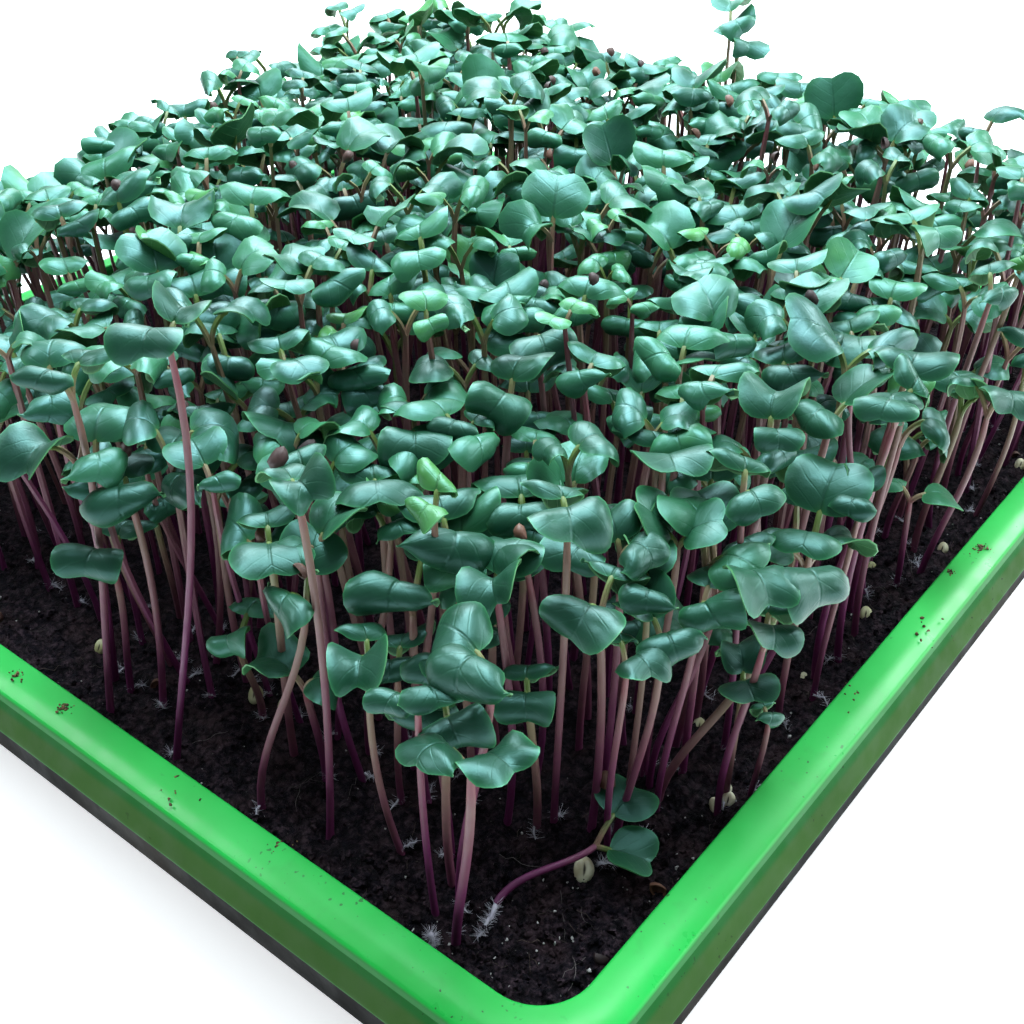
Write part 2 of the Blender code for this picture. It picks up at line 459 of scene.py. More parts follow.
def grit_and_dust(surface, colour):
    """Fine dark grit and smudges, in patches."""
    grit = surface.span(surface.noise(0.55 * MM, 1), 0.705, 0.745)
    patches = surface.span(surface.noise(16 * MM, 2), 0.45, 0.70)
    colour = surface.mix(surface.math("MULTIPLY", grit, patches), colour, (0.010, 0.012, 0.006))
    dust = surface.span(surface.noise(1.6 * MM, 4), 0.50, 0.85, 0.0, 0.22)
    return surface.mix(surface.math("MULTIPLY", dust, patches), colour, (0.020, 0.060, 0.015))


def green_plastic():
    surface = Surface("green_plastic", Specular_IOR_Level=0.30)
    outwards = rim_distance(surface)
    mottle = surface.noise(14 * MM, 3)
    colour = surface.mix(surface.span(mottle, 0.35, 0.65), (0.007, 0.310, 0.040), (0.009, 0.365, 0.053))
    height = add_node(surface.tree, "SeparateXYZ", {0: surface.place}).outputs[2]
    # Where the shoulder turns down, the green is painted darker: painted shade.
    turn = surface.span(height, TRAY_HIGH.z - 1.9 * MM, TRAY_HIGH.z - 1.35 * MM, 1.0, 0.0)
    colour = surface.mix(turn, colour, (0.007, 0.140, 0.020))
    surface.set("Base Color", grit_and_dust(surface, colour))
    # The shoulder is rubbed smooth, and the rest is dull with fine scuffs.
    scuffs = surface.wear(2.5 * MM, 5, 0.50, 0.62)
    rubbed = surface.span(outwards, 1.5 * MM, 6.5 * MM)
    gloss = surface.wear(3 * MM, 4, 0.27, 0.35)
    rubbed = surface.math("MULTIPLY", rubbed, surface.math("SUBTRACT", 1.0, turn))
    surface.set("Roughness", add_node(surface.tree, "Mix", {0: rubbed, 2: scuffs, 3: gloss}).outputs[0])
    surface.bump(surface.noise(14 * MM, 2), 0.4 * MM, 0.12)
    surface.bump(surface.noise(0.8 * MM, 3), 0.05 * MM, 0.3)
    return surface.material


def shaded_skirt_plastic():
    """Below the shoulder the green tray is dull, and its green is painted dark olive as painted shade,
    down to a lighter line on the bead at its foot, which is a painted highlight.
    """
    surface = Surface("green_plastic_skirt_shaded", Specular_IOR_Level=0.08)
    height = add_node(surface.tree, "SeparateXYZ", {0: surface.place}).outputs[2]
    cloud = surface.span(surface.noise(12 * MM, 4), 0.3, 0.7)
    colour = surface.mix(cloud, (0.024, 0.068, 0.011), (0.030, 0.082, 0.015))
    # Where the shoulder turns down into the skirt, a darker green is painted: painted shade.
    turn = surface.span(height, TRAY_HIGH.z - 5.0 * MM, TRAY_HIGH.z - 3.6 * MM)
    colour = surface.mix(turn, colour, (0.006, 0.085, 0.013))
    # A lighter line is painted on the bead at the foot: a painted highlight.
    foot = surface.span(height, TRAY_HIGH.z - 9.0 * MM, TRAY_HIGH.z - 8.2 * MM, 0.45, 0.0)
    colour = surface.mix(foot, colour, (0.030, 0.200, 0.045))
    surface.set("Base Color", grit_and_dust(surface, colour))
    surface.set("Roughness", surface.wear(2.5 * MM, 5, 0.55, 0.75))
    surface.bump(surface.noise(0.8 * MM, 3), 0.05 * MM, 0.3)
    return surface.material


def charcoal_plastic():
    surface = Surface("charcoal_plastic", Specular_IOR_Level=0.05)
    colour = surface.mix(surface.noise(8 * MM, 4), (0.004, 0.004, 0.004), (0.011, 0.010, 0.009))
    dusty = surface.span(surface.noise(20 * MM, 5), 0.45, 0.7, 0, 0.5)
    colour = surface.mix(dusty, colour, (0.034, 0.027, 0.021))
    surface.set("Base Color", colour)
    surface.set("Roughness", surface.wear(3 * MM, 4, 0.42, 0.65))
    surface.bump(surface.noise(0.8 * MM, 4), 0.10 * MM, 0.5)
    return surface.material


def soil_material(name, light):
    """Crumbs of several sizes, with painted shade in the dips between them. light brightens the crumbs.
    """
    surface = Surface(name, Specular_IOR_Level=0.07)
    grain = surface.noise(0.9 * MM, 6, 0.7)
    dark = (0.0030 * light, 0.0024 * light, 0.0045 * light)
    brown = (0.0320 * light, 0.0205 * light, 0.0265 * light)
    colour = surface.mix(surface.span(grain, 0.42, 0.68), dark, brown)
    clods = surface.span(surface.noise(5 * MM, 4), 0.48, 0.66, 0.0, 0.75)
    colour = surface.mix(clods, colour, (0.0260 * light, 0.0155 * light, 0.0185 * light))
    crumbs = surface.cells(1.7 * MM)
    grit = surface.cells(0.75 * MM)
    # Between the crumbs the colour is painted near black: painted shade.
    hollow_shade = surface.span(crumbs, 0.42, 0.80, 0.0, 0.85)
    colour = surface.mix(hollow_shade, colour, (0.0011, 0.0009, 0.0018))
    fibres = surface.span(surface.noise(1.4 * MM, 3, 0.5, 4.0), 0.66, 0.71)
    colour = surface.mix(surface.math("MULTIPLY", fibres, 0.5), colour, (0.036, 0.024, 0.022))
    flecks = surface.span(surface.noise(0.30 * MM, 1), 0.76, 0.80)
    colour = surface.mix(flecks, colour, (0.09, 0.078, 0.078))
    surface.set("Base Color", colour)
    surface.set("Roughness", surface.wear(3 * MM, 4, 0.60, 0.95))
    surface.bump(surface.noise(1.8 * MM, 6, 0.65, 1.5), 1.5 * MM, 0.9)
    surface.bump(surface.math("SUBTRACT", 1.0, crumbs), 1.0 * MM, 0.9)
    surface.bump(surface.math("SUBTRACT", 1.0, grit), 0.45 * MM, 0.9)
    surface.bump(surface.noise(0.30 * MM, 4, 0.7), 0.20 * MM, 0.8)
    return surface.material


def vein_pattern(surface, across, along):
    """The midrib and the side veins that climb from it: 1 on a vein and 0 away from it."""
    wide = surface.math("ABSOLUTE", across)
    midrib = surface.span(wide, 0.0, 0.055, 1.0, 0.0)
    midrib = surface.math("MULTIPLY", midrib, surface.span(along, 0.15, 1.0, 1.0, 0.35))
    climb = surface.math("SUBTRACT", along, surface.math("MULTIPLY", wide, 0.62))
    climb = surface.math("MULTIPLY_ADD", surface.noise(2.2 * MM, 1), 0.10, climb)
    stripe = surface.math("PINGPONG", climb, 0.15)
    side_veins = surface.span(stripe, 0.0, 0.030, 1.0, 0.0)
    side_veins = surface.math("MULTIPLY", side_veins, surface.span(wide, 0.45, 0.92, 1.0, 0.0))
    return midrib, side_veins


def leaf_top(name, specular, tint, depth):
    """The upper side of a seed leaf. depth is how far its green is mixed towards black as painted
    shade, but for the margin, which stays light.
    """
    surface = Surface(name, Specular_IOR_Level=specular, Specular_Tint=tint)
    across, along, margin = surface.attribute("blade")
    _, tone, _ = surface.attribute("plant")
    cloud = surface.noise(3.0 * MM, 3)
    shade = surface.math("MULTIPLY_ADD", tone, 0.86, surface.math("MULTIPLY", cloud, 0.20))
    base = surface.ramp(shade, [(0.0, (0.005, 0.033, 0.017)), (0.40, (0.013, 0.073, 0.035)),
                                (0.80, (0.025, 0.128, 0.055)), (1.0, (0.068, 0.245, 0.040))])
    # Yellower round the stalk. Towards the margin the green is painted brighter, as painted light
    # shining through the thin leaf, and the very edge is a pale line.
    throat = surface.math("ADD", surface.math("ABSOLUTE", across), along)
    base = surface.mix(surface.span(throat, 0.0, 0.32, 0.45, 0.0), base, (0.035, 0.14, 0.022))
    base = surface.mix(surface.span(margin, 0.70, 1.0, 0.0, 0.35), base, (0.022, 0.150, 0.045))
    base = surface.mix(surface.span(margin, 0.955, 1.0, 0.0, 0.25), base, (0.08, 0.27, 0.10))
    midrib, side_veins = vein_pattern(surface, across, along)
    base = surface.mix(surface.math("MULTIPLY", side_veins, 0.08), base, (0.04, 0.17, 0.08))
    # The midrib's crease is painted darker: painted shade.
    base = surface.mix(surface.math("MULTIPLY", midrib, 0.30), base, (0.004, 0.022, 0.012))
    darker = surface.span(margin, 0.90, 1.0, depth, 0.0)
    surface.set("Base Color", surface.mix(darker, base, (0.0, 0.002, 0.0)))
    surface.set("Roughness", surface.wear(1.6 * MM, 4, 0.34, 0.47))
    # Veins lie in fine creases.
    surface.bump(surface.math("SUBTRACT", 1.0, side_veins), 0.06 * MM, 0.35)
    surface.bump(surface.math("SUBTRACT", 1.0, midrib), 0.20 * MM, 0.6)
    surface.bump(surface.noise(2.6 * MM, 3), 0.40 * MM, 0.45)
    surface.bump(surface.cells(0.40 * MM), 0.03 * MM, 0.35)
    return surface.material


def leaf_under():
    surface = Surface("seed_leaf_underside", Specular_IOR_Level=0.35)
    across, along, margin = surface.attribute("blade")
    _, tone, _ = surface.attribute("plant")
    base = surface.mix(tone, (0.018, 0.085, 0.034), (0.050, 0.180, 0.038))
    cloud = surface.span(surface.noise(3 * MM, 3), 0.35, 0.7, 0, 0.4)
    base = surface.mix(cloud, base, (0.022, 0.11, 0.055))
    base = surface.mix(surface.span(margin, 0.90, 1.0, 0, 0.5), base, (0.11, 0.30, 0.12))
    _, side_veins = vein_pattern(surface, across, along)
    base = surface.mix(surface.math("MULTIPLY", side_veins, 0.25), base, (0.12, 0.30, 0.13))
    surface.set("Base Color", base)
    surface.set("Roughness", surface.wear(2 * MM, 3, 0.48, 0.62))
    surface.bump(side_veins, 0.14 * MM, 0.6)
    surface.bump(surface.noise(0.7 * MM, 3), 0.08 * MM, 0.5)
    return surface.material


def leaf_margin():
    surface = Surface("seed_leaf_margin", Specular_IOR_Level=0.4, Roughness=0.5)
    cloud = surface.noise(2 * MM, 2)
    surface.set("Base Color", surface.mix(cloud, (0.045, 0.18, 0.065), (0.11, 0.31, 0.13)))
    surface.bump(surface.noise(0.5 * MM, 2), 0.05 * MM, 0.4)
    return surface.material


def stem_material():
    """Purple at the foot, then pink and buff, and green where the stalks reach the leaves."""
    surface = Surface("stem", Specular_IOR_Level=0.40)
    rise, _, red = surface.attribute("plant")
    streaks = surface.noise(1.6 * MM, 3)
    share = surface.math("MULTIPLY_ADD", surface.math("SUBTRACT", streaks, 0.5), 0.35, rise)
    share = surface.math("SUBTRACT", share, surface.math("MULTIPLY", red, 0.62))
    share = surface.span(share, -0.62, 1.0, smooth=False)
    colour = surface.ramp(share, [
        (0.00, (0.075, 0.007, 0.055)),
        (0.25, (0.120, 0.018, 0.078)),
        (0.46, (0.150, 0.050, 0.078)),
        (0.68, (0.180, 0.102, 0.090)),
        (0.88, (0.170, 0.135, 0.075)),
        (1.00, (0.080, 0.135, 0.030)),
    ])
    # A pink blush where the stem forks.
    away = surface.math("ABSOLUTE", surface.math("SUBTRACT", rise, 0.95))
    blush = surface.math("MULTIPLY", surface.span(away, 0.0, 0.10, 0.75, 0.0), red)
    colour = surface.mix(blush, colour, (0.17, 0.022, 0.048))
    surface.set("Base Color", colour)
    surface.set("Roughness", surface.wear(2 * MM, 3, 0.38, 0.55))
    surface.bump(surface.noise(0.9 * MM, 3), 0.10 * MM, 0.5)
    return surface.material


def hull_material():
    """Shed seed coats: grey-brown, rust or pinkish buff, by the tone that each was given."""
    surface = Surface("seed_coat", Specular_IOR_Level=0.4)
    _, tone, _ = surface.attribute("plant")
    cloud = surface.math("SUBTRACT", surface.noise(1.0 * MM, 4), 0.5)
    mottled = surface.math("MULTIPLY_ADD", cloud, 0.5, tone)
    colour = surface.ramp(mottled, [(0.0, (0.014, 0.007, 0.009)), (0.45, (0.040, 0.017, 0.014)),
                                    (0.75, (0.090, 0.038, 0.022)), (1.0, (0.200, 0.100, 0.075))])
    surface.set("Base Color", colour)
    surface.set("Roughness", surface.wear(2 * MM, 3, 0.45, 0.70))
    surface.bump(surface.noise(0.7 * MM, 4), 0.15 * MM, 0.8)
    return surface.material


def seed_material():
    """Cream seeds, split along one side. Their last tone is how deep in the split a point lies."""
    surface = Surface("bare_seed", Specular_IOR_Level=0.4)
    _, tone, split = surface.attribute("plant")
    cloud = surface.span(surface.noise(1.5 * MM, 4), 0.35, 0.65)
    colour = surface.mix(cloud, (0.40, 0.35, 0.23), (0.62, 0.59, 0.46))
    colour = surface.mix(surface.math("MULTIPLY", tone, 0.6), colour, (0.30, 0.34, 0.10))
    # The split is painted darker the deeper it goes: painted shade.
    colour = surface.mix(surface.span(split, 0.45, 0.90), colour, (0.020, 0.012, 0.008))
    surface.set("Base Color", colour)
    surface.set("Roughness", surface.wear(2 * MM, 3, 0.40, 0.60))
    surface.bump(surface.noise(0.8 * MM, 3), 0.06 * MM, 0.6)
    return surface.material


def speckled_material(name, dark, pale, rough, feature, relief):
    """Blotches of two colours, this big, for grains, fibres and roots."""
    surface = Surface(name, Specular_IOR_Level=0.4)
    blotches = surface.span(surface.noise(feature, 4), 0.35, 0.65)
    surface.set("Base Color", surface.mix(blotches, dark, pale))
    wear = surface.noise(feature * 2, 3)
    surface.set("Roughness", surface.span(wear, 0.3, 0.7, rough - 0.1, rough + 0.1))
    surface.bump(surface.noise(feature * 0.6, 4), relief, 0.7)
    return surface.material


# ---------------------------------------------------------------- seed leaves

# The outline of a seed leaf seen flat: its distance from the middle, in half widths, by the angle
# from the notch at its tip round to its stalk.
OUTLINE_ANGLES = (0, 14, 30, 48, 68, 90, 112, 135, 155, 170, 180)
OUTLINE_RADII = (0.62, 0.72, 0.87, 0.97, 1.01, 1.00, 0.93, 0.81, 0.71, 0.66, 0.64)
STALK_END = OUTLINE_RADII[-1]
LEAF_LENGTH = OUTLINE_RADII[0] + STALK_END


def smooth_outline(turn):
    """The outline's radius at these angles, in radians, through its points without corners."""
    fine = np.arange(0, 361, 2.0)
    folded = np.where(fine > 180, 360 - fine, fine)
    radii = np.interp(folded, OUTLINE_ANGLES, OUTLINE_RADII)
    soft = np.convolve(np.concatenate([radii[-6:-1], radii, radii[1:6]]), np.hanning(11) / 5, "valid")
    return np.interp(np.degrees(turn) % 360, fine, soft[: len(fine)])


class LeafGrid:
    """A leaf's flat grid: rings from its middle to its margin, and the faces between them."""

    def __init__(self, around, top_rings, under_rings):
        turn = math.tau * np.arange(around) / around
        # More points where the outline curves most, round the notch.
        turn = turn - 0.22 * np.sin(turn)
        radius = smooth_outline(turn)
        unit = np.stack([np.sin(turn) * radius, np.cos(turn) * radius], -1)
        top_shares = [(i + 1) / top_rings for i in range(top_rings)]
        top_shares = [share**0.85 for share in top_shares]
        under_shares = [0.985 * (i + 1) / under_rings for i in range(under_rings)]
        self.flat = [np.zeros((1, 2))] + [unit * share for share in top_shares]
        self.flat += [np.zeros((1, 2))] + [unit * share for share in under_shares]
        self.flat = np.concatenate(self.flat) + (0, STALK_END)
        shares = [[0], np.repeat(top_shares, around), [0], np.repeat(under_shares, around)]
        self.margin = np.concatenate(shares)
        self.top_count = 1 + around * top_rings
        self.is_under = np.arange(len(self.flat)) >= self.top_count
        here = np.arange(around)
        following = (here + 1) % around
        fan = np.stack([np.zeros(around, int), 1 + following, 1 + here], -1)
        top = [fan] + self.quads(1, top_rings, around, True)
        low = self.top_count
        under_fan = np.stack([np.full(around, low), low + 1 + here, low + 1 + following], -1)
        under = [under_fan] + self.quads(low + 1, under_rings, around, False)
        outer = 1 + around * (top_rings - 1)
        lower = low + 1 + around * (under_rings - 1)
        band = np.stack([outer + here, outer + following, lower + following, lower + here], -1)
        self.top_faces = top
        self.under_faces = under
        self.margin_faces = [band]

    @staticmethod
    def quads(first, rings, around, upwards):
        here = np.arange(around)
        following = (here + 1) % around
        made = []
        for ring in range(rings - 1):
            inner = first + ring * around
            outer = inner + around
            quad = [inner + here, inner + following, outer + following, outer + here]
            made.append(np.stack(quad if upwards else quad[::-1], -1))
        return made


# Points around, rings on top and rings underneath, from the finest grid to the coarsest.
GRIDS = {"near": LeafGrid(32, 7, 3), "middle": LeafGrid(26, 5, 2), "far": LeafGrid(20, 4, 2)}

LEAF_THICKNESS = 0.55 * MM
# Where the lobes start to curve down, in half widths from the midrib.
CAP_START = 0.42
# How far from the stalk the blade has started to bend in full, in half widths.
BEND_START = 0.12


@dataclass
class LeafShape:
    """How one seed leaf is bent: lengths in metres, angles in radians.

    bend is the turn from stalk to tip, skew turns the line that it bends about, and uneven is how
    much more one lobe turns than the other. cup raises both lobes, fold lifts them from the midrib
    in a V, and cap rounds their ends down. ripple waves the margin, and lobe_twist warps the blade.
    """

    half_width: float
    bend: float
    cup: float = 0.0
    fold: float = 0.0
    cap: float = 0.0
    skew: float = 0.0
    uneven: float = 0.0
    ripple: float = 0.0
    phase: float = 0.0
    lobe_twist: float = 0.0

    def surface(self, flat_points):
        """Points in the leaf's own frame: across, along from the stalk's end, and up."""
        across, along = flat_points.T
        middle = along - STALK_END
        reach = np.hypot(across, middle)
        around = np.arctan2(across, middle)
        up = self.cup * across**2 * (0.35 + 0.65 * along)
        up = up + self.fold * (np.sqrt(across**2 + 0.02) - 0.14)
        up = up - 0.03 * np.exp(-((across / 0.07) ** 2)) * np.clip(1.0 - along, 0, 1)
        up = up + self.ripple * reach**3 * np.sin(5 * around + self.phase)
        up = up + self.lobe_twist * across * along * 0.5
        # Past CAP_START each lobe curves down, and keeps its length as it does.
        beyond = np.maximum(np.abs(across) - CAP_START, 0)
        rate = 2 * max(self.cap, 1e-3)
        up = up - (np.sqrt(1 + (rate * beyond) ** 2) - 1) / rate
        across_now = np.sign(across) * (np.abs(across) - beyond + np.arcsinh(rate * beyond) / rate)
        across_now *= 1 - 0.45 * np.clip(abs(self.cup), 0, 0.8) ** 2 * across**2 - 0.22 * self.fold

        # The blade rolls down about a line across it, which skew turns.
        turned = math.cos(self.skew), math.sin(self.skew)
        sideways = across_now * turned[0] + along * turned[1]
        onwards = along * turned[0] - across_now * turned[1]
        turn_rate = self.bend / LEAF_LENGTH * (1 + self.uneven * across)
        softly = np.maximum(onwards, 0) ** 2 / (2 * BEND_START)
        eased = np.where(onwards > BEND_START, onwards - BEND_START * 0.5, softly)
        angle = turn_rate * eased
        safe = np.where(np.abs(turn_rate) < 1e-3, 1e-3, turn_rate)
        forward = np.sin(angle) / safe + (onwards - eased) + up * np.sin(angle)
        height = up * np.cos(angle) - (1 - np.cos(angle)) / safe
        x = sideways * turned[0] - forward * turned[1]
        y = sideways * turned[1] + forward * turned[0]
        return np.stack([x, y, height], -1) * self.half_width

    def shell(self, grid):
        """The closed thin shell on a flat grid: the underside lies below the top along its normal."""
        step = 0.02
        points = self.surface(grid.flat)
        right = self.surface(grid.flat + (step, 0)) - points
        ahead = self.surface(grid.flat + (0, step)) - points
        normal = np.cross(right, ahead)
        normal /= np.linalg.norm(normal, axis=1)[:, None]
        depth = LEAF_THICKNESS * (1 - 0.55 * grid.margin**2)
        return points - normal * (depth * grid.is_under)[:, None]

    def rib(self, shares, radii):
        """The path of the raised rib along the underside, deep enough to stay below the top."""
        flat_points = np.stack([np.zeros(len(shares)), np.array(shares) * LEAF_LENGTH], -1)
        points = self.surface(flat_points)
        right = self.surface(flat_points + (0.02, 0)) - self.surface(flat_points - (0.02, 0))
        ahead = self.surface(flat_points + (0, 0.02)) - points
        normal = np.cross(right, ahead)
        normal /= np.linalg.norm(normal, axis=1)[:, None]
        return points - normal * (np.array(radii)[:, None] + 0.18 * MM)


# How seed leaves are held, as the ranges of five measures: bend in degrees, cup, fold, cap and skew.
HABITS = {
    "rolled": ((160, 225), (-0.18, 0.12), (0.0, 0.05), (0.9, 1.9), (-0.5, 0.5)),
    "kidney": ((170, 210), (0.16, 0.28), (0.0, 0.03), (1.2, 2.0), (-0.1, 0.1)),
    "saddle": ((125, 180), (0.15, 0.38), (0.0, 0.08), (0.5, 1.4), (-0.3, 0.3)),
    "ears": ((110, 135), (0.40, 0.55), (0.05, 0.15), (0.8, 1.4), (-0.1, 0.1)),
    "arched": ((110, 160), (-0.30, -0.05), (0.0, 0.03), (0.4, 1.2), (-0.4, 0.4)),
    "open": ((60, 110), (-0.10, 0.25), (0.0, 0.12), (0.2, 0.9), (-0.3, 0.3)),
    "wavy": ((60, 90), (0.0, 0.2), (0.2, 0.4), (0.2, 0.8), (-0.2, 0.2)),
    "folded": ((90, 140), (0.0, 0.2), (0.35, 0.75), (0.2, 0.8), (-0.3, 0.3)),
    "spoon": ((10, 50), (0.12, 0.35), (0.0, 0.2), (0.0, 0.5), (-0.2, 0.2)),
}
# How often each comes up in the crowd.
COMMON_HABITS = ["rolled"] * 15 + ["saddle"] * 8 + ["arched"] * 7 + ["kidney"] * 3
COMMON_HABITS += ["open"] * 4 + ["folded"] * 2 + ["wavy"] + ["spoon"]


def random_leaf(habit, half_width):
    bend, cup, fold, cap, skew = [between(*reach) for reach in HABITS[habit]]
    return LeafShape(
        half_width,
        bend=math.radians(bend),
        cup=cup,
        fold=fold,
        cap=cap,
        skew=skew,
        uneven=between(-0.5, 0.5),
        ripple=between(0.14, 0.22) if habit == "wavy" else between(0.0, 0.09),
        phase=between(0, math.tau),
        lobe_twist=between(-0.55, 0.55),
    )


# ---------------------------------------------------------------- seedlings

# The materials of a clump, in order.
TOP, UNDER, MARGIN, STEM, HULL, SHADED_CORNER_TOP = range(6)


class Look:
    """How finely a seedling is meshed, by how near the camera's corner it stands, and its green, which
    near the corner is painted deeper as painted shade.
    """

    def __init__(self, range_name, stem_sides, stem_steps, stalk_sides, stalk_steps, top=TOP):
        self.grid = GRIDS[range_name]
        self.top = top
        self.stem_sides = stem_sides
        self.stem_steps = stem_steps
        self.stalk_sides = stalk_sides
        self.stalk_steps = stalk_steps


NEAR = Look("near", 8, 13, 7, 6, SHADED_CORNER_TOP)
MIDDLE = Look("middle", 6, 11, 5, 5)
FAR = Look("far", 4, 8, 4, 3)


def add_leaf(piece, look, joint, azimuth, rise, rise_end, stalk_length, shape, tone, red, roll):
    """A stalk from the node at the stem's top, and the seed leaf that it carries."""
    out = flat(math.cos(azimuth), math.sin(azimuth))
    up = flat(0, 0, 1)
    start = out * math.cos(rise) + up * math.sin(rise)
    finish = out * math.cos(rise_end) + up * math.sin(rise_end)
    end = joint + (start * 0.55 + finish * 0.45).normalized() * stalk_length
    start_pull = start * stalk_length * 0.4
    end_pull = -finish * stalk_length * 0.35
    stalk = curve_points(joint, start_pull, end_pull, end, look.stalk_steps)

    ahead = np.array(finish)
    right = np.array(finish.cross(up).normalized())
    above = np.cross(right, ahead)
    across = right * math.cos(roll) + above * math.sin(roll)
    above = np.cross(across, ahead)
    axes = np.stack([across, ahead, above])
    grid = look.grid
    points = shape.shell(grid) @ axes + np.array(end)
    leaf_place = np.stack([grid.flat[:, 0], grid.flat[:, 1] / LEAF_LENGTH, grid.margin], -1)
    plant = (1.0, tone, red)
    first = piece.count
    piece.add(points, grid.top_faces, look.top, leaf_place, plant)
    # The other faces use the same points.
    for faces, slot in ((grid.under_faces, UNDER), (grid.margin_faces, MARGIN)):
        for array in faces:
            piece.faces.append(array + first)
            piece.slots.append(np.full(len(array), slot))

    thick = 0.56 * MM * (shape.half_width / (6.5 * MM)) ** 0.5
    rib_radii = np.array((0.80, 0.62, 0.42, 0.22)) * thick
    rib = shape.rib((0.08, 0.18, 0.29, 0.41), rib_radii) @ axes + np.array(end)
    below = (above * 0.75 * thick)[None, :] * np.linspace(0, 1, len(stalk))[:, None]
    path = np.concatenate([stalk - below, rib])
    radii = np.concatenate([np.full(len(stalk), thick), rib_radii])
    tube_points, faces = tube(path, radii, look.stalk_sides)
    rings = len(path)
    heights = np.repeat(np.linspace(0.90, 1.5, rings), look.stalk_sides)
    stalk_plant = np.stack([heights, np.full(len(heights), tone), np.full(len(heights), red * 0.6)], -1)
    piece.add(tube_points, faces, STEM, (0, 0, 0), stalk_plant)
    return end


def add_hull(piece, centre, size, axis, tone):
    """A shed seed coat: a small dented cap, open at its lower side."""
    around, rings = 9, 5
    axis = Vector(axis).normalized()
    right = axis.orthogonal().normalized()
    ahead = axis.cross(right)
    points = []
    for outside in (1.0, 0.78):
        for ring in range(rings):
            tilt = math.pi * 0.62 * (ring + 0.35) / rings
            for step in range(around):
                turn = math.tau * step / around
                bump_out = 1 + 0.10 * math.sin(3 * turn + size * 9000)
                radial = right * math.cos(turn) * 1.15 + ahead * math.sin(turn) * 0.8
                spot = radial * math.sin(tilt) * bump_out + axis * math.cos(tilt)
                points.append(centre + size * outside * spot)
    points = np.array([tuple(point) for point in points])
    outer = ring_faces(rings, around)[:, ::-1]
    inner = ring_faces(rings, around) + rings * around
    here = np.arange(around)
    following = (here + 1) % around
    low = (rings - 1) * around
    high = low + rings * around
    lip = np.stack([low + here, low + following, high + following, high + here], -1)
    caps = [cap_faces(0, around, True), cap_faces(rings * around, around, False)]
    piece.add(points, [outer, inner, lip[:, ::-1]] + caps, HULL, (0, 0, 0), (0, tone, 0))


def grow_seedling(piece, base, head, azimuth, look, size=1.0, habits=None, tone=None, hull=False,
                  spread=180, stalk=None):
    """One radish seedling from its foot in the soil to its two seed leaves.

    base is where the stem leaves the soil and head is the middle of its leaves. spread is the angle
    between the ways that the leaves point, in degrees, and stalk is the length of a leaf's stalk.
    """
    habits = habits or (chance.choice(COMMON_HABITS), chance.choice(COMMON_HABITS))
    tone = between(0, 1) if tone is None else tone
    red = between(0, 1)
    stalk = stalk or between(3.5, 9.0) * MM * size
    rises = (math.radians(between(66, 87)), math.radians(between(66, 87)))
    lean = head - base
    length = lean.length
    up = flat(0, 0, 1)
    node = head - up * (stalk * 0.9 + 2.0 * MM * size)
    bow = flat(between(-1, 1), between(-1, 1)) * length * 0.055
    foot_pull = (up + lean.normalized() * 0.4).normalized() * length * 0.33 + bow
    top_pull = -(up * 0.75 + lean.normalized() * 0.25).normalized() * length * 0.33 + bow * 0.6
    path = curve_points(base - up * STEM_START, foot_pull, top_pull, node, look.stem_steps)
    thick = between(0.70, 0.88) * MM * (0.6 + 0.4 * size)
    shares = np.linspace(0, 1, look.stem_steps)
    radii = thick * (1.0 + 0.18 * np.exp(-((shares / 0.06) ** 2)) - 0.12 * shares)
    radii[-1] *= 0.8
    points, faces = tube(path, radii, look.stem_sides, flatness=between(0.82, 1.0), turn=between(0, 3))
    rise = np.repeat(shares, look.stem_sides)
    plant = np.stack([rise, np.full(len(rise), tone), np.full(len(rise), red)], -1)
    piece.add(points, faces, STEM, (0, 0, 0), plant)

    joint = node - up * 0.5 * MM
    leaf_sizes = (between(6.7, 8.1) * MM * size, between(5.4, 7.0) * MM * size)
    for side in range(2):
        facing = azimuth + math.radians(spread) * side + between(-0.3, 0.3)
        rise_end = rises[side] * between(0.45, 0.90)
        add_leaf(piece, look, joint, facing, rises[side], rise_end, stalk * (1.0 if side == 0 else 0.9),
                 random_leaf(habits[side], leaf_sizes[side]), tone, red, between(-0.45, 0.45))
    if hull:
        spot = head + flat(between(-3, 3), between(-3, 3), between(0, 2.5)) * MM
        hull_size = between(1.3, 1.8) * MM
        axis = (between(-1, 1), between(-1, 1), between(-0.2, 1))
        add_hull(piece, spot, hull_size, axis, between(0, 1))


# How much higher the front plants' leaves start than the table says, in millimetres, because they
# hang, and the share of its tone that each keeps, which paints them darker as painted shade.
FRONT_RAISE = 5.5
FRONT_TONE = 0.45

